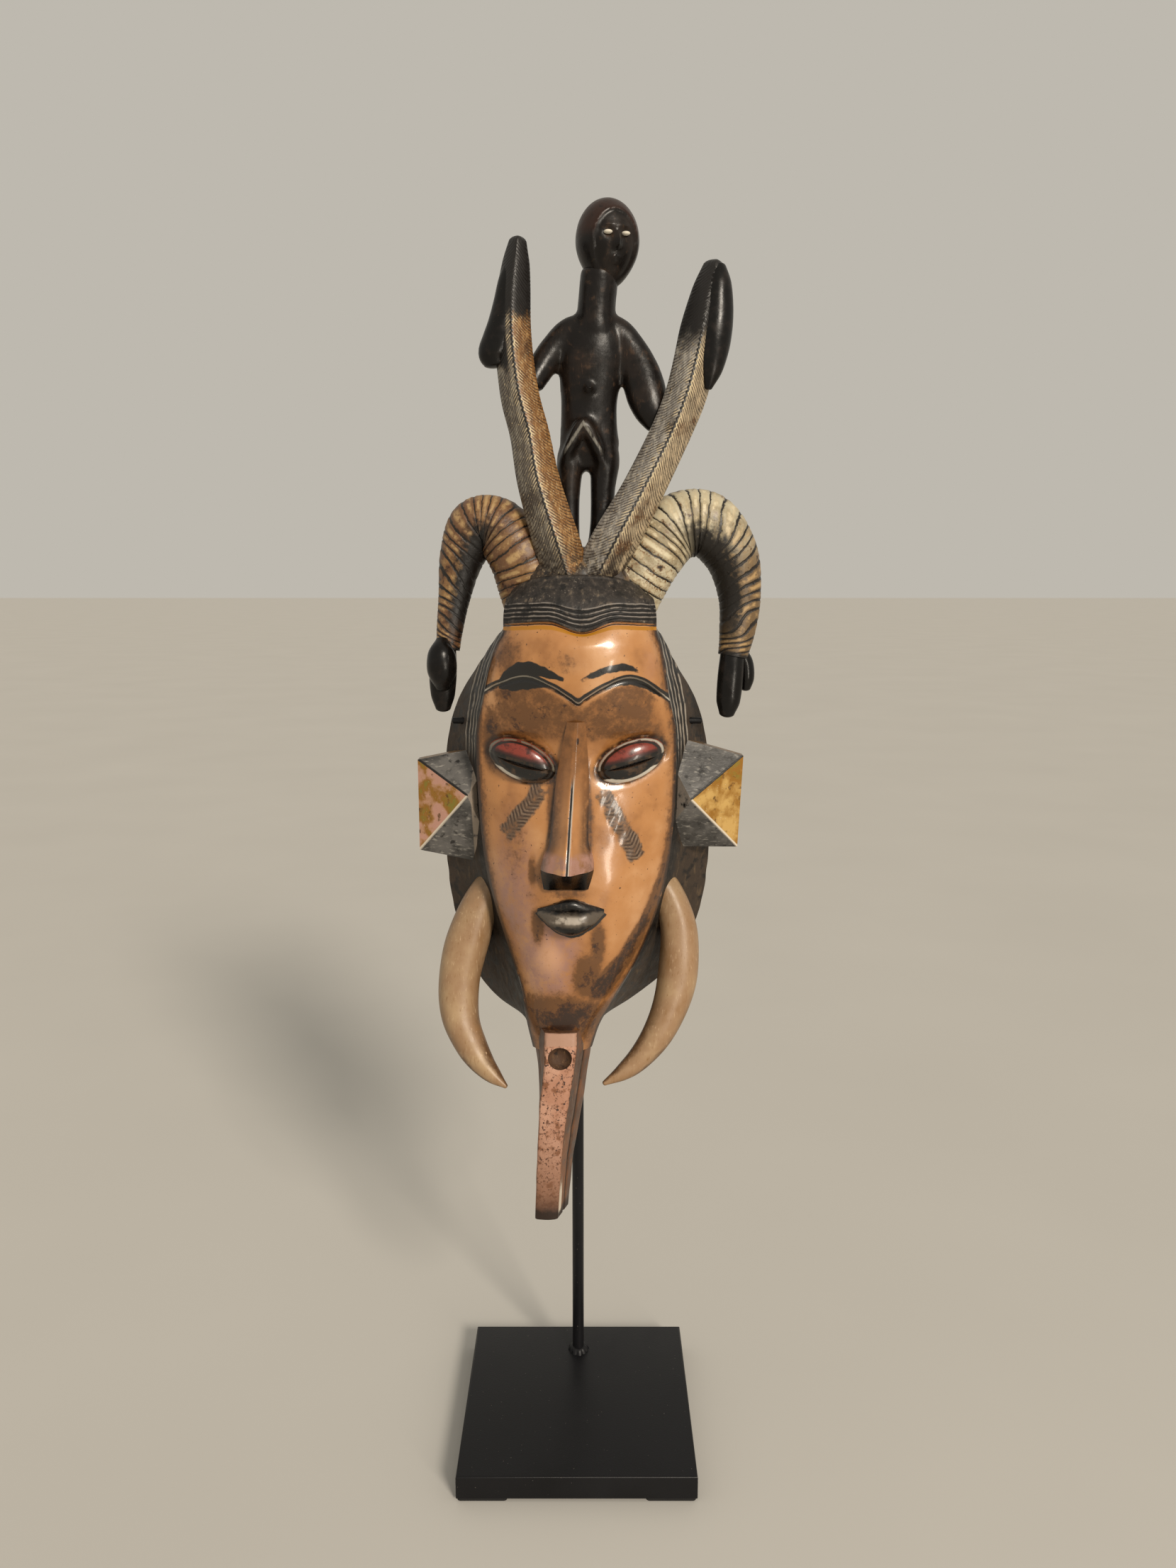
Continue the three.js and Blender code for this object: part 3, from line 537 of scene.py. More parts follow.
def rim_half_width(z):
    half = np.where(z > RIM_MIDDLE, RIM_TOP - RIM_MIDDLE, RIM_MIDDLE - RIM_BOTTOM)
    share = clamp01(np.abs(z - RIM_MIDDLE) / half)
    shaved = SHOULDER_SHAVED * np.exp(-(((z - SHOULDER_Z) / SHOULDER_REACH) ** 2))
    return RIM_HALF_WIDTH * (1 - share**RIM_POWER) ** (1 / RIM_POWER) - shaved


def level_at(x, z):
    """A level bends with the brow line and the hairline that are close to it."""
    brow = clamp01(1 - np.abs(z - BROW_LEVEL) / 24) * (brow_line(x) - BROW_LEVEL)
    hair = clamp01(1 - np.abs(z - HAIR_LEVEL) / 19) * (hair_line(x) - HAIR_LEVEL)
    return z + brow + hair


def groove(distance, width, depth):
    """A round-bottomed cut along a line."""
    return -depth * np.exp(-((distance / (0.5 * width)) ** 2))


def stroke(x, z, stops):
    """How far a point is inside a brush stroke through (x, z, half width) stops; outside is below zero."""
    best = np.full(np.broadcast(x, z).shape, -60.0)
    for (x0, z0, w0), (x1, z1, w1) in zip(stops, stops[1:]):
        length = (x1 - x0) ** 2 + (z1 - z0) ** 2
        t = clamp01(((x - x0) * (x1 - x0) + (z - z0) * (z1 - z0)) / length)
        away = np.hypot(x - x0 - t * (x1 - x0), z - z0 - t * (z1 - z0))
        best = np.maximum(best, w0 + t * (w1 - w0) - away)
    return best


def eye_place(x, z):
    """Inside distance from the nearer eye's almond outline, and height over its long axis, in
    millimetres."""
    along = (np.abs(x) - EYE_X) / EYE_HALF_WIDTH
    over = z - EYE_Z - EYE_SLANT * (np.abs(x) - EYE_X)
    return 12 * (1 - np.sqrt(along**2 + (over / EYE_HALF_HEIGHT) ** 2)), over


def scar_place(x, z):
    """Inside distance from the nearer cheek scar band, and the distance along its oblique cuts."""
    inside, cuts = np.full(np.broadcast(x, z).shape, -60.0), np.zeros(np.broadcast(x, z).shape)
    for (x0, z0), (x1, z1) in SCARS:
        length = math.hypot(x1 - x0, z1 - z0)
        ux, uz = (x1 - x0) / length, (z1 - z0) / length
        along = (x - x0) * ux + (z - z0) * uz
        across = (x - x0) * uz - (z - z0) * ux
        near = np.minimum(SCAR_HALF_WIDTH - np.abs(across), np.minimum(along, length - along) + 1.5)
        cuts = np.where(near > inside, along + 0.75 * np.abs(across), cuts)
        inside = np.maximum(inside, near)
    return inside, cuts


def face_relief(x, z):
    """What the knife left on the front at one level: the steps of brow and hair, the eye hollows
    and the cuts."""
    brow = 2.5 * ease((z - BROW_LEVEL + 0.7) / 1.4)
    hair = 3.0 * ease((z - HAIR_LEVEL + 0.7) / 1.4)
    socket = 6 * bell(np.abs(x), z, 29, -13, 25, 17)
    under_brow = groove(z - BROW_LEVEL + 1.5, 1.8, 0.8)
    hair_cuts = sum(groove(z - HAIR_LEVEL - at, 0.95, 0.9) for at in HAIR_CUTS)
    return brow + hair - socket + under_brow + hair_cuts


def body_ring(z):
    """One level: up the right flank, across the face, down the left flank and back along the rim."""
    profiles = (face_half_width, face_edge_depth, face_middle_depth, face_lean)
    half, edge, middle, lean = (profile(z) for profile in profiles)
    rim = max(rim_half_width(z), 1.04 * half + 1)
    back = -RIM_DEPTH + 20 * clamp01((z - 60) / 30) ** 2 + 26 * clamp01((-180 - z) / 27) ** 2
    s = 1 - (1 - np.linspace(0, 1, FLANK_COLUMNS + 1)) ** 1.35
    side_x, side_d = half + (rim - half) * (1 - s) ** RIM_FLARE, back + (edge - back) * s
    run = np.concatenate([[0], np.cumsum(np.hypot(np.diff(side_x), np.diff(side_d)))])
    beside = run - run[-1]
    outward = side_x - half
    bands = sum(groove(outward - at, 1.6, 0.9) for at in SIDE_CUTS) * ease((z + 14) / 12)
    gouged = 0.35 * waver(side_x, side_d, z, 13.0) * ease(-beside / 12)
    side_x = side_x + (bands + gouged) * 0.8
    side_z = z + (level_at(half, z) - z) * s**2
    u = np.linspace(1, -1, FACE_COLUMNS + 1)[1:-1]
    x = u * half
    face_z = level_at(x, z)
    bulge = (middle - edge) * (1 - np.abs(u) ** 2.3)
    depth = edge + bulge + face_relief(x, z) * ease((1 - np.abs(u)) / 0.12)
    scar, cuts = scar_place(x + lean, face_z)
    ridge = 0.5 + 0.5 * np.cos(2 * math.pi * cuts / SCAR_PITCH)
    depth = depth + ease(scar / 1.5 + 0.5) * (0.75 * ridge - 0.35)
    eye, _ = eye_place(x + lean, face_z)
    depth = depth + groove(eye + 0.8, 2.4, 0.9) + 0.22 * waver(x, depth, face_z, 21.0, 0.4)
    rear_u = np.linspace(-1, 1, BACK_COLUMNS + 1)[1:-1]
    ring = [(side_x + lean, side_d, side_z), (x + lean, depth, face_z),
        (lean - side_x[::-1], side_d[::-1], side_z[::-1]),
        (rear_u * rim + lean, back + 0 * rear_u, z + 0 * rear_u)]
    grid = np.concatenate([np.stack(np.broadcast_arrays(*part), 1) for part in ring])
    rim_far = np.full(BACK_COLUMNS - 1, beside[0])
    to_edge = np.concatenate([beside, (1 - np.abs(u)) * half, beside[::-1], rim_far])
    side_out = np.concatenate([outward, 0 * u, outward[::-1], 99 + 0 * rear_u])
    return grid, to_edge, side_out


def brow_paint(x, z):
    """How far inside the loose black brush strokes over the brows and the black patch under the nose."""
    left = stroke(x, z, [(-47, 27.5, 0.6), (-41, 34, 2.4), (-34, 38, 3.6), (-27, 38.5, 3.8), (-19, 36, 3.2),
        (-8, 32, 1.2)])
    blot = stroke(x, z, [(-45, 26, 1.5), (-38, 29, 5.2), (-29, 31, 5.8), (-20, 29.5, 3.2), (-14, 27, 1.0)])
    right = stroke(x, z, [(3, 31, 0.7), (9, 33.8, 1.9), (17, 37, 2.1), (26, 38.8, 2.3), (32, 38, 1.8),
        (37, 35.5, 0.6)])
    tail = stroke(x, z, [(17, 25.5, 0.3), (26, 29.5, 1.8), (34, 29.5, 2.1), (42, 26.5, 1.7),
        (50, 20.5, 0.5)])
    # The black patch under the nose is black paint and painted shadow cast by the nose.
    under_nose = stroke(x, z, [(-12.5, -87.0, 5.6), (1.5, -87.0, 5.6)])
    return np.maximum.reduce([left, blot, right, tail, under_nose])


def measures(tree, key):
    """The three measures of the carving, in millimetres or as shares, that a part's paint follows."""
    field = add_node(tree, "Attribute", {"attribute_name": key}).outputs["Vector"]
    return add_node(tree, "SeparateXYZ", sockets={0: field}).outputs


def worked(operation, *values):
    """The result of a sum on sockets and plain numbers, at least one of them a socket."""
    tree = next(value for value in values if isinstance(value, bpy.types.NodeSocket)).id_data
    return add_node(tree, "Math", {"operation": operation}, dict(enumerate(values))).outputs[0]


def ragged(measure, noise, reach):
    """A measure whose lines wander by up to `reach`, as a loaded brush or a worn edge does."""
    return worked("ADD", measure, worked("MULTIPLY_ADD", noise, 2.0 * reach, -reach))


def above(measure, start, full):
    """From 0 where the measure is at `start` to 1 where it is at `full`."""
    sockets = {0: measure, 1: start, 2: full}
    return add_node(measure.id_data, "MapRange", {"interpolation_type": "SMOOTHSTEP"}, sockets).outputs[0]


def both(first, *others):
    """Where all of the masks lie."""
    for mask in others:
        first = worked("MULTIPLY", first, mask)
    return first


def stripe(measure, low, high, soft=0.25):
    """A painted line between two heights of a measure."""
    return both(above(measure, low - soft, low + soft), above(measure, high + soft, high - soft))


def coated(ground, *coats):
    """Lays coats over a ground. A coat is a colour and the masks that bound it, and a mask is a socket or
    the (measure, start, full) that `above` makes one of."""
    ground = linear(ground) if isinstance(ground, str) else ground
    for colour, *bounds in coats:
        mask = both(*[above(*bound) if isinstance(bound, tuple) else bound for bound in bounds])
        colour = linear(colour) if isinstance(colour, str) else colour
        sockets = {0: mask, 6: ground, 7: colour}
        ground = add_node(mask.id_data, "Mix", {"data_type": "RGBA"}, sockets).outputs[2]
    return ground


def gloss_between(noise, low, high, full=0.75):
    """A roughness between low and high that follows a noise up to the value `full`."""
    sockets = {0: noise, 1: 0.3, 2: full, 3: low, 4: high}
    return add_node(noise.id_data, "MapRange", sockets=sockets).outputs[0]


def place_in(tree):
    """The x, y and z of a point of the object, in metres."""
    return add_node(tree, "SeparateXYZ", sockets={0: add_node(tree, "TexCoord").outputs["Object"]}).outputs


def grain_of(tree, size_mm, detail=4.0, stretch=(1, 1, 1), roughness=0.55):
    """A fixed unevenness in the wood or the paint whose spots are about size_mm wide, before the
    stretch."""
    place = add_node(tree, "TexCoord").outputs["Object"]
    place = add_node(tree, "Mapping", sockets={0: place, 3: stretch}).outputs[0]
    sockets = {"Vector": place, "Scale": 1000 / size_mm, "Detail": detail, "Roughness": roughness}
    return add_node(tree, "TexNoise", sockets=sockets).outputs["Fac"]


def skin_over(shader, colour, roughness, bumps):
    """Links the colour and roughness to the shader, and stacks (height, strength, depth in mm) bumps."""
    tree = shader.id_data
    tree.links.new(colour, shader.inputs["Base Color"])
    tree.links.new(roughness, shader.inputs["Roughness"])
    normal = None
    for height, strength, depth in bumps:
        sockets = {"Height": height, "Strength": strength, "Distance": depth * MM}
        if normal:
            sockets["Normal"] = normal
        normal = add_node(tree, "Bump", sockets=sockets).outputs[0]
    tree.links.new(normal, shader.inputs["Normal"])


levels = np.concatenate([
    np.arange(CHIN_BOTTOM, 20, 1.9), np.arange(20.2, 29.5, 0.5), np.arange(30, 68, 1.9),
    np.arange(68.2, 78.8, 0.36), np.arange(79.2, HEAD_TOP + 0.1, 1.2)])
grid, to_edge, side_out = (np.stack(parts) for parts in zip(*(body_ring(z) for z in levels)))
crown_rings = [(0.3, 0.985), (1.0, 0.95), (1.6, 0.88), (1.9, 0.75)]
top_middle = grid[-1].mean(0)
for rise, share in crown_rings:
    ring = top_middle + (grid[len(levels) - 1] - top_middle) * (share, share, 1) + (0, 0, rise)
    grid, to_edge, side_out = (np.concatenate(pair)
        for pair in ((grid, ring[None]), (to_edge, to_edge[-1:]), (side_out, side_out[-1:])))
grid[..., 2] -= 9 * clamp01((grid[..., 2] - 78) / 12) * clamp01(np.abs(grid[..., 0]) / 42) ** 3
ring_levels = np.concatenate([levels, HEAD_TOP + np.array([rise for rise, _ in crown_rings])])
level = ring_levels[:, None] + 0 * to_edge
x, z = grid[..., 0], grid[..., 2]
scar, cuts = scar_place(x, z)
eye, _ = eye_place(x, z)
lips = 1 - np.abs((x + 3.5) / 22) ** 1.7
mouth = np.minimum(lips * 10.5 - (z + 112) * 1.0, lips * 14.5 + (z + 112) * 1.0)
on_front = to_edge > -1
black_paint = np.maximum(brow_paint(x, z), np.minimum(mouth, 3.0))
rim_side = ease(1 - to_edge / 13) * on_front
down_right = stroke(x, z, [(60, -50, 0.5), (54, -92, 2.2), (43, -122, 4), (31, -143, 5.5), (14, -163, 8)])
left_edge_shade = ease(1 - to_edge / 5.5) * on_front * (x < 0) * ease((24 - z) / 20) * ease((z + 165) / 30)
socket = 0.66 * ease((brow_line(x) - z) / 7) * ease((z + 16) / 16) * ease((55 - np.abs(x)) / 12)
# Brown worn patches and patina, except the two broad bells low on the left half (at -38, -70 and -24, -100)
# and the strip along the left contour, which are painted shade on the side away from the key light.
brown = np.maximum.reduce([
    socket,
    0.84 * bell(x, z, -33, 8, 25, 18), 0.82 * bell(x, z, 32, 12, 20, 12), 0.6 * bell(x, z, 0, 8, 13, 22),
    1.12 * bell(x, z, -51, -6, 8, 22), 0.7 * bell(x, z, 48, -6, 8, 20), 0.95 * bell(x, z, -41, 22, 10, 7),
    0.8 * bell(x, z, -15, -42, 4, 30), 0.6 * bell(x, z, 9, -56, 3, 26), 0.95 * bell(x, z, -24, -120, 5, 14),
    0.78 * bell(x, z, -27, -86, 3.5, 14), 1.0 * bell(x, z, 13, -131, 6, 18),
    1.1 * bell(x, z, 7, -153, 11, 19),
    1.4 * bell(x, z, -9, -183, 32, 17), 1.25 * ease(down_right / 9 + 0.5),
    0.6 * bell(x, z, -16, -88, 12, 14),
    0.65 * bell(x, z, -3, -98, 18, 6), 0.5 * bell(x, z, -7, 42, 17, 10), 0.75 * bell(x, z, -41, 45, 12, 16),
    0.6 * rim_side, 1.2 * left_edge_shade, 0.5 * bell(x, z, -38, -70, 14, 34),
    0.4 * bell(x, z, -24, -100, 20, 16)])
pink = np.maximum(bell(x, z, -38, -100, 14, 50), 1.6 * bell(x, z, -17, -141, 18, 25))
pink = pink + 0.4 * bell(x, z, 44, 40, 8, 20)
nose_side = 6.3 + 6.3 * clamp01((6 - z) / 72)
# Painted shade: dark brown in the groove under the brow, round the eyes and down the sides of the nose.
crease_shade = np.maximum.reduce([
    np.exp(-(((level - BROW_LEVEL + 1.5) / 1.6) ** 2)), np.exp(-((eye / 2.2) ** 2)) * (eye < 1),
    0.8 * np.exp(-(((np.abs(x + 5.5 * clamp01((6 - z) / 93)) - nose_side) / 2.0) ** 2))
    * ease((-8 - z) / 16) * (z > -92)])
hair_side = (level[:-1, :] > HAIR_LEVEL - 0.3) | (np.minimum(to_edge, np.roll(to_edge, -1, 1))[:-1] < -0.1)
rear_columns = to_edge.shape[1] - BACK_COLUMNS
quad_finish = np.where(hair_side, FINISHES.index("hair"), FINISHES.index("face"))
quad_finish[:, rear_columns:] = FINISHES.index("raw")
head = closed_solid("carved_mask", grid, quad_finish,
    lines=np.stack([level - BROW_LEVEL, level - HAIR_LEVEL, to_edge], 2),
    marks=np.stack([np.where(on_front, black_paint, -60), np.where(on_front, scar, -60),
        np.where(on_front, cuts, side_out)], 2),
    age_and_shade=np.stack([np.where(on_front, brown, 0.2), pink, np.where(on_front, crease_shade, 0)], 2))


# Glossy orange paint over a smooth ground, brushed on and varnished: warm orange, pinker on the left cheek,
# and rubbed through to brown in the eye hollows, along the edges and on the chin. The brown low on the left
# half and along its left edge, and the dark brown in the creases, are painted shade. Lines are black, white
# and ochre; the white brow line is partly a painted highlight.
ORANGE, LIGHT_ORANGE, DEEP_ORANGE, PINK, PALE = "#B27C49", "#C79668", "#8C5B2E", "#9E7566", "#DBA882"
BROWN, DARK_BROWN, BLACK_PAINT, WHITE_LINE_AND_HIGHLIGHT, OCHRE = "#65401C", "#2C180B", "#0C0A09", "#ADA79B", "#A8700E"


def orange_paint(tree, age_and_shade, flecks_at=0.66):
    """The orange ground, worn brown and darkened by painted shade, and the mask of that brown."""
    cloud, mottle = grain_of(tree, 42), grain_of(tree, 7, 9.0, roughness=0.68)
    fleck = grain_of(tree, 1.7, 3.0)
    speck = grain_of(tree, 2.6, 6.0, roughness=0.7)
    # The first measure mixes brown worn patches with painted shade on the face's left half, and the third
    # is painted shade in the creases, so the masks made from them below carry both.
    worn = ragged(ragged(age_and_shade[0], mottle, 0.5), speck, 0.35)
    rubbed = ragged(ragged(age_and_shade[0], speck, 0.8), grain_of(tree, 11, 5.0, roughness=0.6), 0.9)
    stain = above(age_and_shade[0], 0.1, 0.85)
    brown = above(worn, 0.34, 0.76)
    dark, darkest = above(rubbed, 0.92, 1.08), above(rubbed, 1.12, 1.32)
    ground = coated(ORANGE,
        (LIGHT_ORANGE, (cloud, 0.45, 0.68)), (DEEP_ORANGE, (cloud, 0.47, 0.3)),
        (PINK, (age_and_shade[1], 0.1, 0.9), (mottle, 0.2, 0.62)),
        (PALE, (age_and_shade[1], 1.0, 1.9), (mottle, 0.25, 0.5)),
        (DEEP_ORANGE, stain), (BROWN, brown), ("#48290F", dark), (DARK_BROWN, darkest),
        (DARK_BROWN, (fleck, flecks_at, flecks_at + 0.04), (mottle, 0.45, 0.6)),
        # The last coat is painted shade in the creases.
        (DARK_BROWN, (age_and_shade[2], 0.25, 0.95), (mottle, 0.25, 0.55)))
    return ground, brown, mottle, fleck


_, tree, shader = mask_finishes["face"]
lines, marks, age_and_shade = (measures(tree, key) for key in ("lines", "marks", "age_and_shade"))
ground, wear_and_shade, mottle, fleck = orange_paint(tree, age_and_shade)
brush = grain_of(tree, 5, 4.0)
brow = ragged(lines[0], brush, 0.25)
hairline = ragged(lines[1], brush, 0.5)
strokes = ragged(marks[0], brush, 1.2)
edge = ragged(lines[2], mottle, 2.2)
hatch = worked("SINE", worked("MULTIPLY", ragged(marks[2], mottle, 1.6), 2 * math.pi / SCAR_PITCH))
scar = above(ragged(marks[1], mottle, 4.2), -0.9, 1.3)
colour = coated(ground,
    (DARK_BROWN, (edge, 2.6, 0.8), (mottle, 0.2, 0.5)),
    ("#5A4433", scar, (mottle, 0.2, 0.5)),
    ("#7A6654", scar, (hatch, 0.0, 0.9), (mottle, 0.42, 0.62)),
    ("#33241A", scar, (hatch, -0.2, -0.9), (mottle, 0.36, 0.6)),
    (OCHRE, stripe(hairline, -6.1, -2.9)),
    ("#2A1D16", stripe(hairline, -2.3, -1.2)),
    (BLACK_PAINT, (strokes, -0.3, 0.5)),
    (BLACK_PAINT, stripe(brow, 0.55, 2.6, 0.35)), (BLACK_PAINT, stripe(brow, -1.6, -0.5, 0.35)),
    # The light line along the brow step's top edge: partly pale paint, partly painted highlight.
    (WHITE_LINE_AND_HIGHLIGHT, stripe(brow, -0.5, 0.5)))
gloss = gloss_between(mottle, 0.24, 0.40)
rough = worked("MULTIPLY_ADD", wear_and_shade, 0.14, gloss)
skin_over(shader, colour, rough, [(mottle, 0.25, 0.5), (fleck, 0.12, 0.25), (wear_and_shade, 0.3, -0.15)])
shader.inputs["Coat Weight"].default_value = 0.5
shader.inputs["Coat Roughness"].default_value = 0.12

# The hair band, the crown and the flanks: brown wood under black and grey paint rubbed off the high
# strokes, and bare weathered wood towards the rim. The pale lines beside the cuts are partly painted
# highlight, and the dark bare wood and the plain flank below the ears are partly painted shade.
_, tree, shader = mask_finishes["hair"]
lines, marks = (measures(tree, key) for key in ("lines", "marks"))
strands = grain_of(tree, 3.2, 5.0, (1.0, 1.0, 0.28))
cloud, mottle, fine = grain_of(tree, 26), grain_of(tree, 6, 7.0), grain_of(tree, 1.1, 3.0, (1, 1, 0.4))
beside = worked("MULTIPLY", lines[2], -1.0)
flank = above(beside, 0.0, 0.6)
# The bare wood's dark browns are partly painted shade on the flanks.
bare = both(above(ragged(beside, mottle, 6.0), 15.0, 24.0), flank)
band = worked("SUBTRACT", 1.0, flank)
colour = coated("#221D1A",
    ("#3C352F", (strands, 0.42, 0.66)), ("#675A4B", (strands, 0.57, 0.74)),
    ("#857C70", (fine, 0.58, 0.74), (cloud, 0.42, 0.62)),
    ("#110E0C", (mottle, 0.48, 0.34)),
    ("#15110E", flank, (mottle, 0.25, 0.6)),
    ("#33271C", bare), ("#54432F", bare, (strands, 0.52, 0.75)),
    ("#17110C", bare, (mottle, 0.5, 0.36)))
on_crown = above(marks[2], 60.0, 90.0)
colour = coated(colour,
    ("#6B5740", on_crown, (strands, 0.5, 0.64)),
    ("#8C7C64", on_crown, (fine, 0.58, 0.7), (cloud, 0.42, 0.6)))
wander = ragged(lines[1], grain_of(tree, 14, 2.0), 0.8)
outward = ragged(marks[2], grain_of(tree, 14, 2.0), 0.9)
grooves = [both(stripe(wander, at - 0.42, at + 0.42, 0.22), band) for at in HAIR_CUTS]
# Pale grey lines along the hair edge and above each cut: partly grey paint, partly painted highlight.
ridges = [both(stripe(wander, at + 0.75, at + 1.05, 0.25), band) for at in (-0.9, *HAIR_CUTS)]
side_cuts = [both(stripe(outward, at - 0.5, at + 0.5, 0.25), flank) for at in SIDE_CUTS]
# Pale lines beside the side cuts: partly grey paint, partly painted highlight.
side_lines_and_highlights = [both(stripe(outward, at + 0.8, at + 1.35, 0.3), flank) for at in (-0.6, *SIDE_CUTS)]
# The side cuts and their pale lines are drawn only above the ears; below them the flank is left dark, as
# painted shade.
above_ears = place_in(tree)[2]
above_ears = above(above_ears, bar_middle.z - 0.028, bar_middle.z - 0.008)
colour = coated(colour, *[("#0B0908", mask) for mask in grooves],
    *[("#8F8780", mask, (mottle, 0.35, 0.55)) for mask in ridges],
    *[("#0B0908", mask, above_ears) for mask in side_cuts],
    *[("#A39A8E", mask, above_ears, (mottle, 0.3, 0.5)) for mask in side_lines_and_highlights])
rough = gloss_between(mottle, 0.42, 0.68, 0.7)
skin_over(shader, colour, rough, [(strands, 0.5, 0.8), (mottle, 0.3, 0.6), (fine, 0.25, 0.3)])


# The nose: a long thin wedge of the same wood that leans to the left, with two small wings and a black
# underside, black paint that also stands as painted shadow under the nose. It is carved with the face, and
# a line is cut down its ridge.
NOSE_TOP, NOSE_BOTTOM, NOSE_FOOT, NOSE_LEAN, NOSE_RISE, NOSE_TIP_RISE = 6.0, -82.5, -95.5, -5.5, 3.0, 21.0
nose_half_width = through((NOSE_TOP, 5.5), (-27, 9.6), (-66, 11.8), (-71, 13.4), (-76, 15.2),
    (NOSE_BOTTOM, 16), (NOSE_FOOT, 13.5))
z = np.concatenate([np.linspace(NOSE_TOP, NOSE_BOTTOM, 64),
    np.linspace(NOSE_BOTTOM - 0.5, NOSE_FOOT, 9)])[:, None]
t = (NOSE_TOP - z) / (NOSE_TOP - NOSE_BOTTOM)
under = clamp01((NOSE_BOTTOM - z) / (NOSE_BOTTOM - NOSE_FOOT))
base = face_middle_depth(z) - 1
rise = NOSE_RISE + (NOSE_TIP_RISE - NOSE_RISE) * np.minimum(t, 1)
ridge = base + rise * (1 - 0.92 * under) + ease((t - 0.83) / 0.1)
half = nose_half_width(z)
shoulder = base + 0.25 * (ridge - base)
p = np.linspace(1, -1, 41)[None]
fall = clamp01((np.abs(p) - 0.14) / 0.86)
wing = 2.2 * np.exp(-((np.abs(p) - 0.78) / 0.2) ** 2) * ease((-z - 67) / 7)
front = shoulder + (ridge - shoulder) * (1 - fall**1.12) + wing
front = front + groove(p * half - 0.2, 1.1, 0.6) * ease((-z - 26) / 10) * (1 - under)
x = p * half + NOSE_LEAN * t
back = np.full((len(z), 1), -7.0) + base
grid = np.stack([np.hstack([x[:, :1], x, x[:, -1:]]), np.hstack([back, front, back]),
    np.broadcast_to(z, (len(z), 43))], 2)
offset = np.hstack([(p * half)[:, :1], p * half, (p * half)[:, -1:]])
over_edge = z[:-1] + np.zeros((1, 43)) > NOSE_BOTTOM + 0.2
# Below the nose's bottom edge the finish is black: black paint and painted shadow under the nose.
nose_finish = np.where(over_edge, FINISHES.index("nose"), FINISHES.index("black"))
nose = closed_solid("nose", grid, nose_finish,
    lines=np.stack([offset, np.broadcast_to(z, offset.shape), np.abs(offset) / np.hstack([half] * 43)], 2))
carve(head, nose, "UNION")

# The same orange paint on the nose: browner down its sides and under the brow, pink at the tip, with a
# black line along the ridge and beside it a pale line that is a painted highlight.
_, tree, shader = mask_finishes["nose"]
lines, age_and_shade = (measures(tree, key) for key in ("lines", "age_and_shade"))
ground, _, mottle, fleck = orange_paint(tree, age_and_shade)
ridge_line = ragged(lines[0], mottle, 0.35)
low_down = above(lines[1], -24.0, -34.0)
colour = coated(ground,
    (BROWN, (lines[2], 0.35, 0.8), (mottle, 0.2, 0.55)),
    (BROWN, (lines[0], 0.5, 3.5), (lines[1], -60.0, -90.0)),
    (DARK_BROWN, (lines[2], 0.78, 0.98), (mottle, 0.2, 0.5)),
    (DEEP_ORANGE, (lines[1], -60.0, -10.0)),
    (BROWN, (lines[1], -44.0, -4.0), (mottle, 0.3, 0.7)),
    (PINK, (lines[1], -70.0, -74.0), (mottle, 0.3, 0.6)),
    (DARK_BROWN, stripe(lines[0], 1.0, 2.4, 0.3), stripe(lines[1], -7.2, -3.6, 0.8)),
    (BLACK_PAINT, stripe(ridge_line, -0.75, 0.75), low_down),
    # Painted highlight: the pale line beside the black ridge line, on its right.
    ("#C9BDB0", stripe(ridge_line, 0.55, 1.15), low_down))
gloss = gloss_between(mottle, 0.26, 0.42)
skin_over(shader, colour, gloss, [(mottle, 0.25, 0.5), (fleck, 0.12, 0.25)])
shader.inputs["Coat Weight"].default_value = 0.5
shader.inputs["Coat Roughness"].default_value = 0.12


# The eyes: heavy-lidded almonds that slant up to their outer corners, with a red lid between white
# outlines, and below it a lens-shaped slit cut right through for the wearer.
SLIT_HALF_LENGTH, SLIT_BELOW, SLIT_ABOVE, SLIT_DROP = 15.5, 1.9, 0.7, 1.5
for side in (1, -1):
    u = np.linspace(-0.985, 0.985, 47)[:, None]
    angle = np.linspace(0, 2 * math.pi, 42, endpoint=False)[None]
    x = EYE_X + u * EYE_HALF_WIDTH + 0 * angle
    reach = np.sqrt(1 - u**2)
    z = EYE_Z + EYE_SLANT * u * EYE_HALF_WIDTH + EYE_HALF_HEIGHT * reach * np.sin(angle)
    base = face_middle_depth(EYE_Z) - 4 - 8 * ((x - 14) / 40) ** 2
    inside, over = eye_place(x, z)
    slit_line = over + SLIT_DROP
    lid = 0.9 * ease((slit_line - 0.4) / 1.2) * ease(inside / 2.5) + groove(inside - 1.6, 1.2, 0.5)
    depth = base + EYE_BALL * reach * np.cos(angle) + lid * (np.cos(angle) > 0)
    grid = np.stack([side * x, depth, z], 2)
    ball = closed_solid("eyeball", grid, "eye", lines=np.stack([inside, slit_line, side * (x - EYE_X)], 2))
    carve(head, ball, "UNION")

# Glossy paint on the eyes: a red lid, brown and black below it, and white lines round the lid and along the
# lower edge, so that each eye seems half closed. The black round the narrow slit is black paint and painted
# shade for the dark of the open slit.
_, tree, shader = mask_finishes["eye"]
inside, over, along = measures(tree, "lines")
brush, mottle = grain_of(tree, 3.5, 4.0), grain_of(tree, 5, 7.0)
inside, over = ragged(inside, brush, 0.25), ragged(over, brush, 0.8)
upper = above(over, 0.2, 1.6)
lower = above(over, -5.0, -6.0)
east = place_in(tree)[0]
right_eye = above(east, bar_middle.x - 0.001, bar_middle.x + 0.001)
crescent = above(worked("MULTIPLY_ADD", right_eye, -30.0, along), 1.0, -5.0)
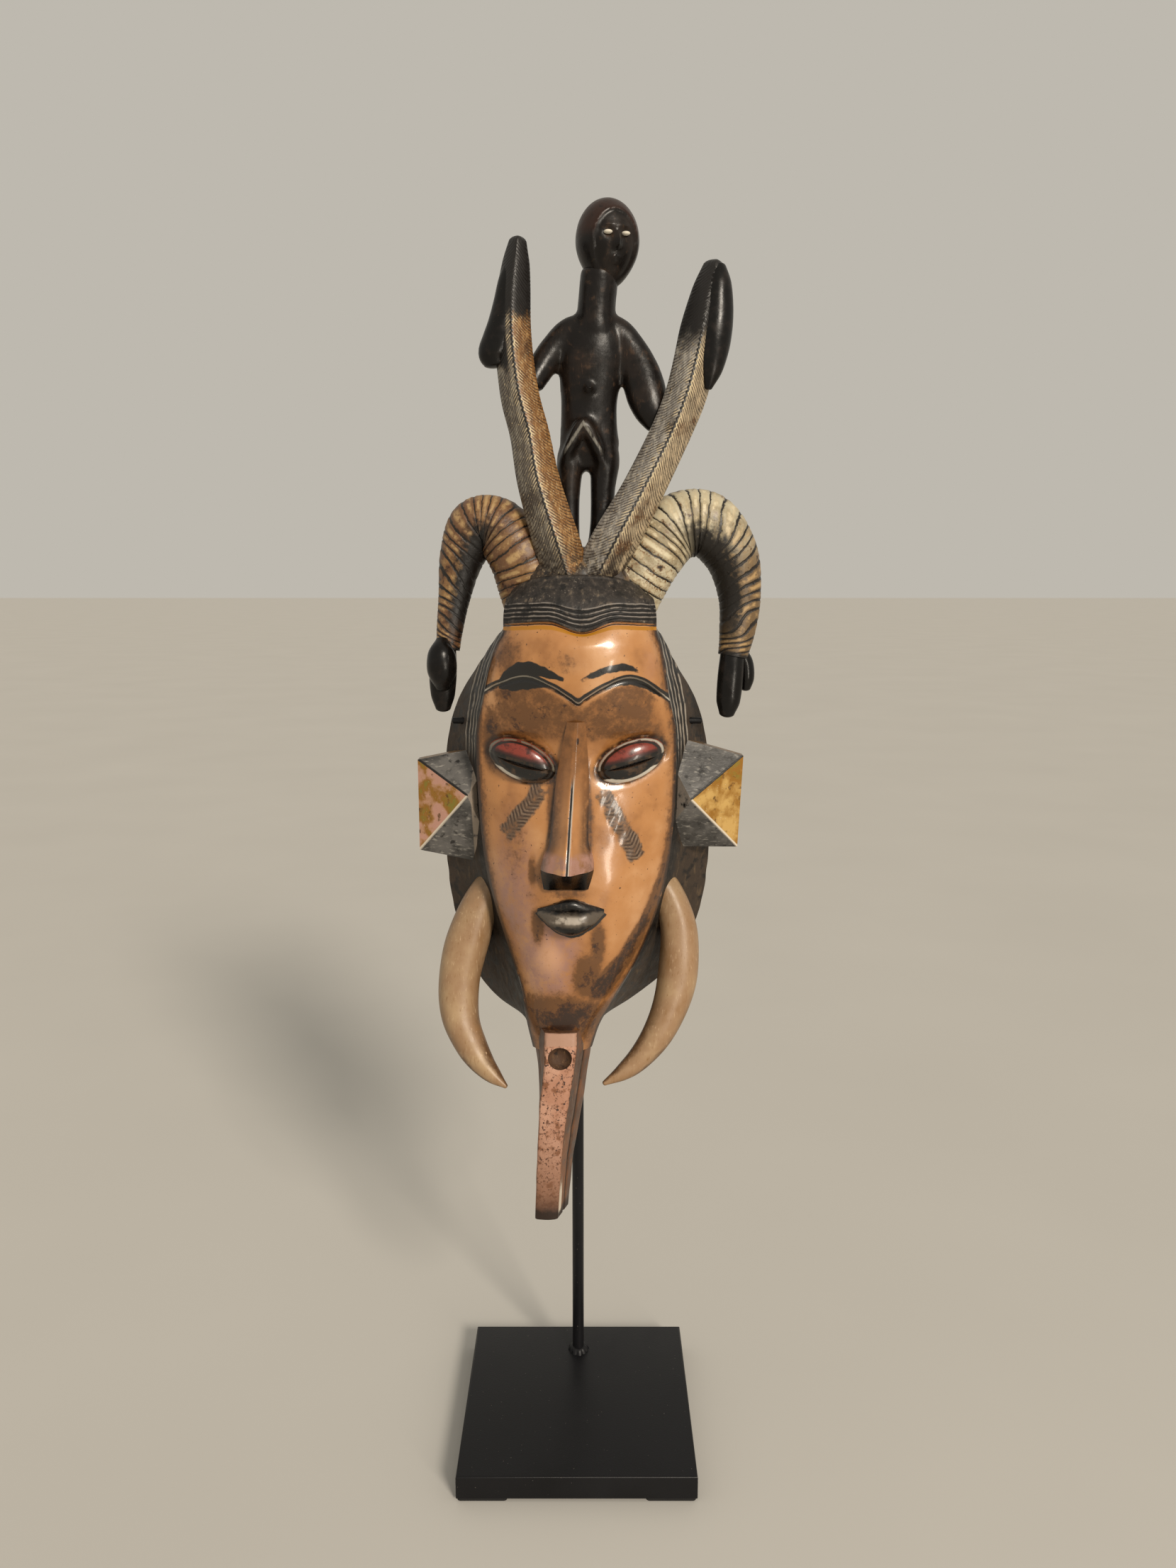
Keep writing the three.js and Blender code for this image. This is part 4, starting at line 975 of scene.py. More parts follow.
# The black ground round the slit is partly painted shade for the open slit.
colour = coated("#0C0A09",
    ("#43301F", (mottle, 0.48, 0.64), (over, 4.0, 1.0)),
    ("#3B1710", (over, 2.6, 4.4)),
    ("#7A2E20", (over, 4.2, 6.2), (mottle, 0.3, 0.5)),
    ("#1C1410", stripe(inside, 1.3, 2.3), upper),
    ("#6B675A", stripe(inside, 0.3, 1.1), upper, (mottle, 0.36, 0.52)),
    ("#ABA497", stripe(inside, 0.3, 1.1), upper, right_eye, (mottle, 0.3, 0.46)),
    ("#4A3524", lower, (inside, 1.9, 1.2)),
    ("#CFC9BC", lower, (inside, 2.7, 2.0), crescent),
    ("#7C4A26", (inside, 0.15, -0.35), (mottle, 0.3, 0.6)))
gloss = gloss_between(mottle, 0.22, 0.38)
skin_over(shader, colour, gloss, [(mottle, 0.2, 0.4)])
shader.inputs["Coat Weight"].default_value = 0.3


# The mouth: two full lips carved out of the face that part in a dark line. They are painted black and
# rubbed grey where they stand proud. Each lip has its height, its half thickness, and 1 for the upper or -1
# for the lower one.
MOUTH_X, MOUTH_CORNER, MOUTH_HALF_WIDTH = -3.5, -110.0, 19.5
LIPS = ((-104.6, 3.6, 1.0), (-116.0, 7.4, -1.0))
for z, radius, kind in LIPS:
    depth = face_middle_depth(MOUTH_CORNER)
    stations = [(MOUTH_X - MOUTH_HALF_WIDTH, depth - 3, MOUTH_CORNER, 2),
        (MOUTH_X - 9, depth + 1, (z + MOUTH_CORNER) / 2, radius * 0.9),
        (MOUTH_X, depth + 2.5, z, radius), (MOUTH_X + 9, depth + 1, (z + MOUTH_CORNER) / 2, radius * 0.9),
        (MOUTH_X + MOUTH_HALF_WIDTH, depth - 3, MOUTH_CORNER, 2)]
    grid, t, _ = limb(stations, 28, 44)
    lines = np.stack([0 * t + kind, grid[..., 2] - MOUTH_CORNER, t], 2)
    carve(head, closed_solid("lip", grid, "mouth", lines=lines), "UNION")

# Black paint on the lips, worn to grey-brown on the lower one. The grey band on the lower lip's top is
# partly worn paint and partly painted highlight, and the pale stripe in it is a painted highlight.
_, tree, shader = mask_finishes["mouth"]
kind, over, along = measures(tree, "lines")
mottle, worn = grain_of(tree, 5, 7.0), grain_of(tree, 2.2, 5.0)
lower_lip = above(kind, 0.0, -0.5)
# The grey band on the lower lip's top: partly worn paint, partly painted highlight.
high = stripe(ragged(over, mottle, 2.6), -6.2, 0.8, 1.3)
colour = coated("#0D0B0A",
    ("#3B322B", (worn, 0.5, 0.75)),
    ("#564D43", lower_lip, high, (worn, 0.1, 0.4)),
    # Painted highlight: the pale stripe along the lower lip's top.
    ("#A2988C", lower_lip, stripe(ragged(over, mottle, 1.6), -4.4, -0.4, 0.9),
        stripe(along, 0.26, 0.68, 0.08), (mottle, 0.40, 0.6)))
gloss = gloss_between(mottle, 0.22, 0.42)
skin_over(shader, colour, gloss, [(worn, 0.3, 0.35)])


# The ears: a flat block at each side with a four-sided pyramid on its front, sawn and knifed out of the
# mask's own wood. The outer facets are painted gold and the others dark grey.
EAR_BACK, EAR_EDGE, EAR_PEAK = -4.0, 6.0, 27.0
EARS = {
    "right": (((50, -6), (106.4, -22), (103.7, -81.5), (50, -81)), (71.6, -47)),
    "left": (((-50, -14), (-102, -24.5), (-102, -83.5), (-50, -94)), (-68.5, -44.5)),
}


def ear_block(name, corners, peak):
    """A wedge with a pyramid front. lines holds the distances from each facet's two ridges, and its
    number."""
    low = [(x, EAR_BACK, z) for x, z in corners]
    high = [(x, EAR_EDGE, z) for x, z in corners]
    points = np.array([*low, *high, (peak[0], EAR_PEAK, peak[1])], float) * (1, -1, 1)
    faces, field = [(0, 3, 2, 1)], [[(0, 0, 9)] * 4]
    for i in range(4):
        j = (i + 1) % 4
        faces += [(i, j, j + 4, i + 4), (i + 4, j + 4, 8)]
        a, b, top = points[i + 4], points[j + 4], points[8]
        from_a = np.linalg.norm(np.cross(b - a, top - a)) / np.linalg.norm(top - a)
        from_b = np.linalg.norm(np.cross(a - b, top - b)) / np.linalg.norm(top - b)
        field += [[(0, 0, 5 + i)] * 4, [(0, from_b, i), (from_a, 0, i), (0, 0, i)]]
    if name == "left":
        faces = [face[::-1] for face in faces]
        field = [values[::-1] for values in field]
    mesh = bpy.data.meshes.new("ear_" + name)
    mesh.from_pydata([tuple(p * MM + np.array(bar_middle)) for p in points], [], faces)
    for finish in mask_finishes.values():
        mesh.materials.append(finish[0])
    mesh.polygons.foreach_set("material_index", [FINISHES.index("ear")] * len(faces))
    for key in ("lines", "marks", "age_and_shade"):
        layer = mesh.attributes.new(key, "FLOAT_VECTOR", "CORNER")
        if key == "lines":
            layer.data.foreach_set("vector", np.array([v for values in field for v in values],
                np.float32).ravel())
    made = bpy.data.objects.new("ear_" + name, mesh)
    bpy.context.collection.objects.link(made)
    return made


for name, (corners, peak) in EARS.items():
    carve(head, ear_block(name, corners, peak), "UNION")

# Gold ochre on the outer facets, blue-grey on the rest over a dark ground, with the pyramid's upper ridges
# black as painted shadow and the lower ones pale as painted highlight. The block's thin sides are bare
# wood.
_, tree, shader = mask_finishes["ear"]
from_first, from_last, facet = measures(tree, "lines")
cloud, mottle, speck = grain_of(tree, 15, 4.0), grain_of(tree, 5, 8.0), grain_of(tree, 1.2, 3.0)
streak = grain_of(tree, 1.5, 4.0, (0.35, 1.0, 1.0))
outer, top, bottom, inner = (stripe(facet, at - 0.4, at + 0.4, 0.05) for at in (1, 0, 2, 3))
sides = above(facet, 4.4, 4.6)
first, last = ragged(from_first, mottle, 0.3), ragged(from_last, mottle, 0.3)
sideways = place_in(tree)[0]
left_ear = above(sideways, bar_middle.x + 0.001, bar_middle.x - 0.001)
# The inner side of the left ear, painted pale as a highlight where it faces the key light.
strip = both(left_ear, above(sideways, bar_middle.x - 0.0668, bar_middle.x - 0.0658),
    above(facet, 4.6, 4.4))
gold = coated("#8E6119", ("#BF9A58", (cloud, 0.42, 0.62)), ("#7B7328", (cloud, 0.42, 0.3)),
    ("#B98B79", left_ear, (cloud, 0.40, 0.56)),
    ("#5A3C14", (mottle, 0.42, 0.28)), ("#D9C9AE", (speck, 0.66, 0.76)))
grey = coated("#3F3D3B", ("#625F5C", (cloud, 0.40, 0.62)), ("#8C8881", (streak, 0.54, 0.74)),
    ("#1F1C1A", (mottle, 0.44, 0.3)))
bare = coated("#6A5238", ("#8C7250", (streak, 0.48, 0.7)), ("#2E2115", (mottle, 0.45, 0.3)))
# Painted shadow: the black along the upper ridges of the top and outer facets. Painted highlight: the pale
# along the lower ridges of the outer and bottom facets, and the left ear's inner strip.
colour = coated(grey, (gold, outer), (bare, sides),
    ("#8E8378", inner, (mottle, 0.3, 0.5)),
    ("#0F0C0B", top, (last, 1.5, 0.9)),
    ("#0F0C0B", outer, (first, 0.5, 0.2)),
    ("#CFC4B2", outer, (last, 1.3, 0.8)),
    ("#A79E92", bottom, (first, 0.9, 0.4)),
    ("#9F9080", strip, (mottle, 0.3, 0.5)))
gloss = gloss_between(mottle, 0.28, 0.5)
skin_over(shader, colour, gloss, [(mottle, 0.35, 0.6), (streak, 0.25, 0.3)])


# The tusks: smooth round horns of the same wood that grow out of the cheeks and curve in towards the trunk.
# They are scraped round and thin out to a point.
TUSK_RIGHT = ((38, 4, -92, 8), (54, 6, -104, 9.5), (65, 12, -130, 11.5), (66, 18, -155, 12.9),
    (62.2, 24, -176.3, 12.1), (52.1, 32, -198, 9.9), (39.1, 37, -214, 7.6), (29, 41, -221.3, 5.2),
    (17.6, 45, -226.7, 1.6))
TUSK_LEFT = ((-40, 4, -96, 9), (-58, 6, -110, 11), (-71, 12, -141, 13.9), (-76.7, 18, -168, 13.4),
    (-75.5, 25, -190, 12), (-68.1, 32, -206.4, 10.1), (-60.2, 37, -217.2, 7.8), (-53.1, 41, -223.7, 5.2),
    (-45.6, 45, -228.7, 1.6))
for stations in (TUSK_RIGHT, TUSK_LEFT):
    shaved = lambda t, a: 1 + 0.012 * np.sin(5 * a + 9 * t) + 0.010 * np.sin(31 * t + 2 * a)
    grid, t, angle = limb(stations, 30, 64, shape=shaved, dome=(0, 0.8))
    carve(head, closed_solid("tusk", grid, "tusk", lines=ways(t, angle)), "UNION")

# Light wood stained ivory and waxed: tan-cream, with grain along it, browner underneath and at the base.
_, tree, shader = mask_finishes["tusk"]
along, outward, deep = measures(tree, "lines")
cloud, mottle = grain_of(tree, 24), grain_of(tree, 6, 7.0)
fibre = grain_of(tree, 1.3, 4.0, (1.0, 1.0, 0.16))
underneath = both(above(ragged(deep, mottle, 0.5), 0.45, -0.5), above(cloud, 0.2, 0.5))
base = both(above(ragged(along, mottle, 0.1), 0.26, 0.08), above(mottle, 0.25, 0.5))
thick = worked("ABSOLUTE", outward)
shaded = both(above(ragged(thick, mottle, 0.4), 0.5, 1.0), above(along, 0.35, 0.75),
    above(cloud, 0.25, 0.5))
colour = coated("#967758", ("#A78B69", (cloud, 0.42, 0.66)), ("#896744", (cloud, 0.45, 0.25)),
    ("#7A6046", base, (mottle, 0.3, 0.7)),
    ("#6B4C2E", underneath), ("#5C4129", shaded), ("#BFA382", (fibre, 0.58, 0.8)),
    ("#85643F", (fibre, 0.42, 0.24)),
    ("#4A321D", (mottle, 0.3, 0.2)))
gloss = gloss_between(mottle, 0.34, 0.5)
skin_over(shader, colour, gloss, [(fibre, 0.18, 0.3), (mottle, 0.25, 0.5)])


# The trunk: a deep bar below the chin that leans forwards and to the left, narrow in front, with a gouged
# groove along each flank and a round notch under the step at its top.
TRUNK_TOP, TRUNK_TIP = -190.0, -309.0
FRONT_LEFT = through((-172, -19), (-191, -19.7), (-210, -20.2), (-235, -23.3), (-262, -24.7),
    (TRUNK_TIP, -26.6))
FRONT_RIGHT = through((-172, 0), (-191, -0.3), (-210, -1.6), (-235, -5.4), (-262, -9.2), (-290, -11.2),
    (TRUNK_TIP, -12.2))
BACK_RIGHT = through((-172, 13), (-204, 10.9), (-226, 7.7), (-247, 4.5), (-276, -1.1), (TRUNK_TIP, -5))
BACK_LEFT = through((-172, -34), (-195, -31.5), (-215, -27), (-226, -25.5), (-247, -24), (TRUNK_TIP, -23))
TRUNK_FRONT = through((-172, 50), (-191, 54), (-235, 60), (-262, 63), (TRUNK_TIP, 66))
TRUNK_BACK = through((-172, 12), (-205, 20), (-226, 25), (-255, 32), (TRUNK_TIP, 46))
z = np.concatenate([np.linspace(TRUNK_TOP, TRUNK_TIP + 0.8, 74), [TRUNK_TIP + 0.3, TRUNK_TIP]])[:, None]
pull = np.concatenate([np.zeros(74), [0.35, 1.0]])[:, None]
share = np.linspace(0, 1, 30)[None]
deep = TRUNK_BACK(z) + (TRUNK_FRONT(z) - TRUNK_BACK(z)) * share
cut = 1.6 * np.exp(-(((share - 0.5) / 0.045) ** 2)) + 2.2 * np.exp(-((share / 0.06) ** 2)) * (share < 0.3)
cut = cut + 0.25 * waver(deep, z, 3 * share, 16.0) + 0.9 * np.maximum(0, share - 0.97) / 0.03 + pull
right_x = BACK_RIGHT(z) + (FRONT_RIGHT(z) - BACK_RIGHT(z)) * share - cut
left_x = BACK_LEFT(z) + (FRONT_LEFT(z) - BACK_LEFT(z)) * share + cut
across = np.linspace(0, 1, 16)[None, 1:-1]
fore_x = right_x[:, -1:] + (left_x[:, -1:] - right_x[:, -1:]) * across
fore_d = TRUNK_FRONT(z) + 0.8 * np.sin(math.pi * across) ** 0.7 + 0.15 * waver(fore_x, z, 0 * z, 9.0)
grid = np.stack([np.hstack([right_x, fore_x, left_x[:, ::-1]]),
    np.hstack([deep, fore_d, deep[:, ::-1]]) - pull,
    np.broadcast_to(z, (len(z), 74))], 2)
shares = np.hstack([share + 0 * z, 1 + 0 * fore_x, share[:, ::-1] + 0 * z])
sides = np.hstack([1 + 0 * right_x, 1 - 2 * across + 0 * z, -1 + 0 * left_x])
trunk = closed_solid("trunk", grid, "trunk",
    lines=np.stack([shares, sides, grid[..., 2]], 2),
    marks=np.stack([grid[..., 0], grid[..., 1], 0 * shares], 2))
carve(head, trunk, "UNION")
NOTCH_Z, NOTCH_HALF_WIDTH, NOTCH_DEPTH, NOTCH_HALF_HEIGHT = -205.5, 7.6, 6.5, 7.0
notch_x, notch_d = (FRONT_LEFT(NOTCH_Z) + FRONT_RIGHT(NOTCH_Z)) / 2, TRUNK_FRONT(NOTCH_Z) + 1
grid = egg(notch_x, notch_d, NOTCH_Z, NOTCH_HALF_WIDTH, NOTCH_DEPTH, NOTCH_HALF_HEIGHT, 36, 24)
carve(head, closed_solid("notch", grid, "raw"), "DIFFERENCE")

# Pale pink paint speckled dark on the narrow front, worn brown on the step; the flanks are brown-orange
# stain with pale scraped lines along them, and the tip and the notch are dark.
_, tree, shader = mask_finishes["trunk"]
share, across, height = measures(tree, "lines")
cloud, mottle, speck = grain_of(tree, 20), grain_of(tree, 5, 8.0), grain_of(tree, 1.7, 3.0)
scrape = grain_of(tree, 1.1, 4.0, (1.0, 1.0, 0.12))
front = above(ragged(share, mottle, 0.03), 0.955, 0.985)
flank = coated("#4C3221", ("#70472A", (cloud, 0.4, 0.62)), ("#8F765C", (scrape, 0.6, 0.74)),
    ("#23160D", (mottle, 0.42, 0.26)), ("#A99781", (ragged(share, mottle, 0.05), 0.10, 0.02)),
    ("#1C120B", stripe(ragged(share, mottle, 0.02), 0.455, 0.545, 0.02)))
rub = grain_of(tree, 3.2, 7.0, roughness=0.7)
pink = coated("#A97A62", ("#BC9079", (cloud, 0.42, 0.6)), ("#7E5238", (mottle, 0.46, 0.34)),
    ("#5E3C28", (rub, 0.53, 0.62)), ("#35201A", (speck, 0.58, 0.66)),
    ("#6E4A34", (ragged(height, rub, 40.0), -225.0, -320.0)), ("#35221A", (height, -288.0, -312.0)))
tip = above(ragged(height, mottle, 3.0), -300.0, -304.5)
colour = coated(flank, (pink, front), ("#241409", tip),
    ("#A98470", stripe(ragged(height, mottle, 1.0), -198.0, -186.0, 0.8), front),
    ("#C4B7A5", stripe(ragged(share, mottle, 0.03), 0.76, 0.95, 0.02), (across, 0.9, 0.99),
        (ragged(height, rub, 12.0), -282.0, -292.0), (height, -306.0, -303.0)))
gloss = gloss_between(mottle, 0.34, 0.55)
skin_over(shader, colour, gloss, [(mottle, 0.35, 0.6), (scrape, 0.2, 0.3)])


# The crown: a low mound of hair on top of the head, cut from the same block and combed with fine cuts. The
# horns and the figure grow out of it.
CROWN_X, CROWN_D, CROWN_Z = 2, 12, 84
CROWN_HALF_WIDTH, CROWN_HALF_DEPTH, CROWN_HALF_HEIGHT = 44, 27, 25
t = np.linspace(0.02, 0.98, 46)[:, None] * math.pi
angle = np.linspace(0, 2 * math.pi, 96, endpoint=False)[None]
ring = np.sin(t)
x = CROWN_X + CROWN_HALF_WIDTH * ring * np.cos(angle)
d = CROWN_D + CROWN_HALF_DEPTH * ring * np.sin(angle)
z = CROWN_Z - CROWN_HALF_HEIGHT * np.cos(t) + 0 * angle
comb = 1 + 0.02 * np.sin(0.9 * x + 0.5 * z + 2.2 * waver(x, d, z, 34)) + 0.035 * waver(x, d, z, 13)
grid = np.stack([CROWN_X + (x - CROWN_X) * comb, CROWN_D + (d - CROWN_D) * comb, z], 2)
crown = closed_solid("crown", grid, "hair", lines=np.stack([0 * x, 40 + z - CROWN_Z, -40 + 0 * x], 2),
    marks=np.stack([0 * x, 0 * x, 99 + 0 * x], 2))
carve(head, crown, "UNION")


# The ram horns: thick ribbed horns that rise from the crown, bend over and hang beside the head. The ribs
# are knife cuts all round, rubbed with cream paint, and each horn ends in a black lobe with a smaller one
# beside it.
RAM_RIGHT = ((25, 12, 62, 19), (34, 13, 86, 21), (47, 12, 106, 21), (62, 10, 121, 20.5), (80, 9, 122, 20),
    (95, 9, 105, 17.5), (101, 11, 79, 13.2), (99.5, 14, 56, 11), (97, 15, 42, 9.4))
RAM_RIGHT_END = ((97, 16, 50, 7), (95.6, 18, 30, 8), (94.5, 18, 14, 7.4), (93.8, 18, 7, 5))
RAM_RIGHT_TOE = ((101, 12, 46, 4), (105.5, 10, 38, 5), (106.5, 10, 28, 5), (106, 10, 22, 3.5))
RAM_LEFT = ((-22, 12, 62, 19), (-28, 13, 84, 20), (-36, 12, 104, 19.5), (-48, 10, 120, 18.5),
    (-61, 9, 121, 17.5), (-70.5, 9, 104, 14.5), (-76, 11, 78, 10), (-79, 14, 57, 8), (-80, 15, 46, 7.5))
RAM_LEFT_END = ((-81, 16, 52, 6), (-83, 18, 34, 8.5), (-83.5, 18, 18, 7.5), (-83.5, 18, 10.5, 5))
RAM_LEFT_TOE = ((-83, 21, 52, 4), (-83, 24, 44, 8.5), (-83, 24, 33, 9), (-83, 22, 24, 5))
RAM_RIBS, RAM_TILT, RAM_CUT = 29, 1.15, 0.042
for side, horn, ends in ((1, RAM_RIGHT, (RAM_RIGHT_END, RAM_RIGHT_TOE)),
        (-1, RAM_LEFT, (RAM_LEFT_END, RAM_LEFT_TOE))):

    def rib_count(t, a):
        uneven = 0.35 * np.sin(17 * t + side) + 0.22 * np.sin(41 * t) + 0.16 * np.sin(2 * a + 23 * t)
        return RAM_RIBS * t + RAM_TILT * side * np.cos(a) * ease((t - 0.35) / 0.3) + uneven

    def ribbed(t, a):
        share = rib_count(t, a) % 1.0
        cuts = RAM_CUT * np.exp(-(((share - 0.5) / 0.13) ** 2))
        return 1 - cuts - 0.012 * np.cos(2 * math.pi * share) + 0.02 * np.sin(2 * a + 17 * t)

    grid, t, angle = limb(horn, 36, 170, squash=0.9, shape=ribbed)
    ram = closed_solid("ram_horn", grid, "ram",
        lines=np.stack([rib_count(t, angle), t, side * np.cos(angle)], 2),
        marks=np.stack([np.sin(angle), 0 * t, 0 * t + side], 2))
    carve(head, ram, "UNION")
    for stations, squash in zip(ends, (0.75, 1.0)):
        grid, t, angle = limb(stations, 26, 18, squash=squash, dome=(0.5, 0.6))
        carve(head, closed_solid("ram_lobe", grid, "black", lines=ways(t, angle)), "UNION")

# Cream paint rubbed over dark stain, so the ribs are pale and their cuts black; the left horn is browner,
# and the inside of the bend is painted near-black.
_, tree, shader = mask_finishes["ram"]
count, along, outward = measures(tree, "lines")
_, _, which = measures(tree, "marks")
cloud, mottle, streak = grain_of(tree, 17), grain_of(tree, 4.5, 7.0), grain_of(tree, 1.2, 4.0)
blotch = grain_of(tree, 9, 6.0, roughness=0.65)
count = ragged(count, mottle, 0.16)
share = worked("FRACT", count)
from_cut = worked("ABSOLUTE", worked("SUBTRACT", share, 0.5))
from_cut = ragged(from_cut, streak, 0.07)
right = above(which, -0.2, 0.2)
lower_half = above(ragged(along, blotch, 0.16), 0.52, 0.70)
cream = coated("#978A6E", ("#BCB297", (cloud, 0.40, 0.58)), ("#7A5B3C", (blotch, 0.44, 0.34)),
    ("#6B5539", lower_half),
    ("#7C5B38", (along, 0.36, 0.2), (streak, 0.48, 0.6), (blotch, 0.42, 0.52)))
brown = coated("#6A4A30", ("#8C6941", (cloud, 0.44, 0.64)), ("#4E301D", (blotch, 0.44, 0.33)))
high_rib = both(above(from_cut, 0.22, 0.42), above(blotch, 0.46, 0.6))
ribs = coated(brown, (cream, right), ("#A98A5E", high_rib),
    ("#CFC4A6", high_rib, right, (along, 0.66, 0.5)))
bend = stripe(along, 0.36, 0.90, 0.10)
inner_left = both(above(ragged(outward, mottle, 0.8), 0.5, -0.25), bend)
inner_right = both(above(ragged(outward, mottle, 0.7), 0.3, -0.3), bend, right)
inner_left = both(inner_left, worked("SUBTRACT", 1.0, right))
hanging = above(along, 0.5, 0.7)
wide = worked("MULTIPLY_ADD", hanging, -0.085, from_cut)
colour = coated("#1A120B", (ribs, (wide, 0.035, 0.10)), ("#1C130C", (blotch, 0.39, 0.30)),
    ("#0D0907", inner_left), ("#15100B", inner_right),
    ("#120D0A", (ragged(along, mottle, 0.02), 0.965, 0.99)))
gloss = gloss_between(mottle, 0.34, 0.56)
raised = above(from_cut, 0.04, 0.16)
skin_over(shader, colour, gloss, [(raised, 0.5, 0.7), (mottle, 0.35, 0.6), (streak, 0.3, 0.3)])

# Thick black lacquer, almost wet, with a few brown rubs.
_, tree, shader = mask_finishes["black"]
mottle, fine = grain_of(tree, 7, 6.0), grain_of(tree, 1.6, 3.0)
colour = coated("#0A0807", ("#1B1512", (mottle, 0.5, 0.7)), ("#3A2A20", (fine, 0.68, 0.78)))
gloss = gloss_between(mottle, 0.18, 0.36)
skin_over(shader, colour, gloss, [(mottle, 0.3, 0.6), (fine, 0.15, 0.25)])
shader.inputs["Specular IOR Level"].default_value = 0.3


# The tall horns: two keeled shafts that the figure holds. A notched black line runs up each keel, both
# faces are hatched with a fine blade, and each ends in a glossy black blade whose heel overhangs the shaft.
TALL_LEFT = ((-5, 26, 90, 14.5), (-13, 28, 115, 14), (-23, 26, 148, 12.8), (-28, 23, 175.5, 11.8),
    (-33.4, 21, 196, 11.6), (-36.5, 19, 217, 11.2), (-38, 17, 237, 11.3), (-37, 16, 257, 10),
    (-35.4, 15, 273.5, 8), (-34.4, 15, 283.5, 5.6))
TALL_LEFT_END = ((-36.4, 15, 274, 5), (-38.4, 16, 263, 7.4), (-40.6, 17, 249, 8.6), (-43.2, 18, 237, 9.4),
    (-46.2, 18, 228, 9.8), (-48.9, 18, 221, 9.4), (-48.3, 18, 215.5, 7))
TALL_RIGHT = ((12, 26, 90, 14.5), (24.5, 29, 114, 14), (39.8, 27, 142, 12.6), (56.6, 23, 175.5, 12.1),
    (64.7, 21, 196, 12.4), (70.4, 19, 217, 12.5), (74.4, 18, 237, 12.3), (78.4, 16, 256, 10.3),
    (81.5, 15, 269, 7.4))
TALL_RIGHT_END = ((82.4, 16, 270, 6), (83.2, 18, 260, 8.4), (82.5, 20, 243, 10.3), (81, 22, 226, 10),
    (79.5, 24, 211, 7), (78, 25, 200.6, 2.4))
KEEL_NOTCH, HATCH_PITCH = 3.2, 2.1
for side, shaft, end in ((1, TALL_RIGHT, TALL_RIGHT_END), (-1, TALL_LEFT, TALL_LEFT_END)):
    at, _ = spine(shaft, np.linspace(0, 1, 400))
    length = np.concatenate([[0], np.cumsum(np.linalg.norm(np.diff(at, axis=0), axis=1))])
    run_at = lambda t: np.interp(t, np.linspace(0, 1, 400), length)
    size_at = through(*[(i / (len(shaft) - 1), row[3]) for i, row in enumerate(shaft)])

    def keeled(t, a):
        off = np.cos(a) * size_at(t)
        front = (np.sin(a) > 0) * ease((size_at(t) - 6) / 3)
        notch = 0.5 + 0.5 * np.cos(2 * math.pi * run_at(t) / KEEL_NOTCH)
        hatch = np.cos(2 * math.pi * (run_at(t) + 0.9 * np.abs(off)) / HATCH_PITCH)
        keel = -0.055 * notch * np.exp(-((off / 1.3) ** 2))
        return 1 + front * (keel + 0.008 * hatch) + 0.012 * np.sin(3 * a + 21 * t)

    grid, t, angle = limb(shaft, 44, 150, squash=0.95, power=1.3, shape=keeled, dome=(0, 0.8))
    off = np.cos(angle) * size_at(t)
    tall = closed_solid("tall_horn", grid, "tall", lines=np.stack([-off, run_at(t), np.sin(angle)], 2),
        marks=np.stack([grid[..., 2], np.abs(off), 0 * t + side], 2))
    carve(head, tall, "UNION")
    grid, t, angle = limb(end, 30, 32, squash=0.85, dome=(0.4, 0.35))
    carve(head, closed_solid("tall_end", grid, "black", lines=ways(t, angle)), "UNION")

# Ochre-brown wash on each horn's inner face and grey on its outer one, hatched dark, with a black keel
# line.
_, tree, shader = mask_finishes["tall"]
off, run, around = measures(tree, "lines")
height, beside, which = measures(tree, "marks")
cloud, mottle, fine = grain_of(tree, 22), grain_of(tree, 4.5, 7.0), grain_of(tree, 1.2, 4.0)
sweep = worked("MULTIPLY_ADD", beside, 0.9, run)
sweep = worked("MULTIPLY_ADD", mottle, 1.4, sweep)
hatch = worked("SINE", worked("MULTIPLY", sweep, 2 * math.pi / HATCH_PITCH))
wobble = worked("SINE", worked("MULTIPLY", run, 2 * math.pi / KEEL_NOTCH))
keel = worked("MULTIPLY_ADD", wobble, 0.35, off)
in_front = above(around, 0.1, 0.4)
fibre = grain_of(tree, 2.2, 6.0, (1.0, 1.0, 0.22), roughness=0.66)
right = above(which, -0.2, 0.2)
ochre = coated("#7D5730", ("#A47F52", (fibre, 0.46, 0.62)), ("#8F8069", right),
    ("#B5A183", right, (fibre, 0.46, 0.62)),
    ("#5A3B1D", (cloud, 0.45, 0.32)), ("#2B1C10", (fibre, 0.40, 0.31)))
grey = coated("#625A50", ("#8F8778", (fibre, 0.46, 0.62)), ("#85807A", right),
    ("#ACA69B", right, (fibre, 0.46, 0.62)),
    ("#443A30", (cloud, 0.44, 0.31)), ("#241C15", (fibre, 0.40, 0.31)))
left = worked("SUBTRACT", 1.0, right)
edge_of_black = ragged(height, mottle, 9.0)
colour = coated(grey, (ochre, (off, -0.4, 0.6)),
    ("#B9A684", (fine, 0.56, 0.72), in_front),
    ("#2A1D12", (hatch, -0.25, -0.95), (mottle, 0.25, 0.6)),
    ("#C3B08C", (hatch, 0.1, 0.9), (beside, 5.5, 3.0), in_front, (mottle, 0.4, 0.6)),
    ("#C9B994", stripe(keel, 0.9, 1.6, 0.3), in_front, (mottle, 0.42, 0.6)),
    ("#0C0907", stripe(keel, -0.75, 0.65, 0.25), in_front, (mottle, 0.2, 0.4)),
    ("#120D0A", (edge_of_black, 238.0, 246.0), left),
    ("#120D0A", (edge_of_black, 208.0, 216.0), (off, -3.0, -5.0), left),
    ("#120D0A", (edge_of_black, 218.0, 234.0), right),
    ("#241A12", (height, 118.0, 92.0), (mottle, 0.35, 0.6)))
gloss = gloss_between(mottle, 0.32, 0.55)
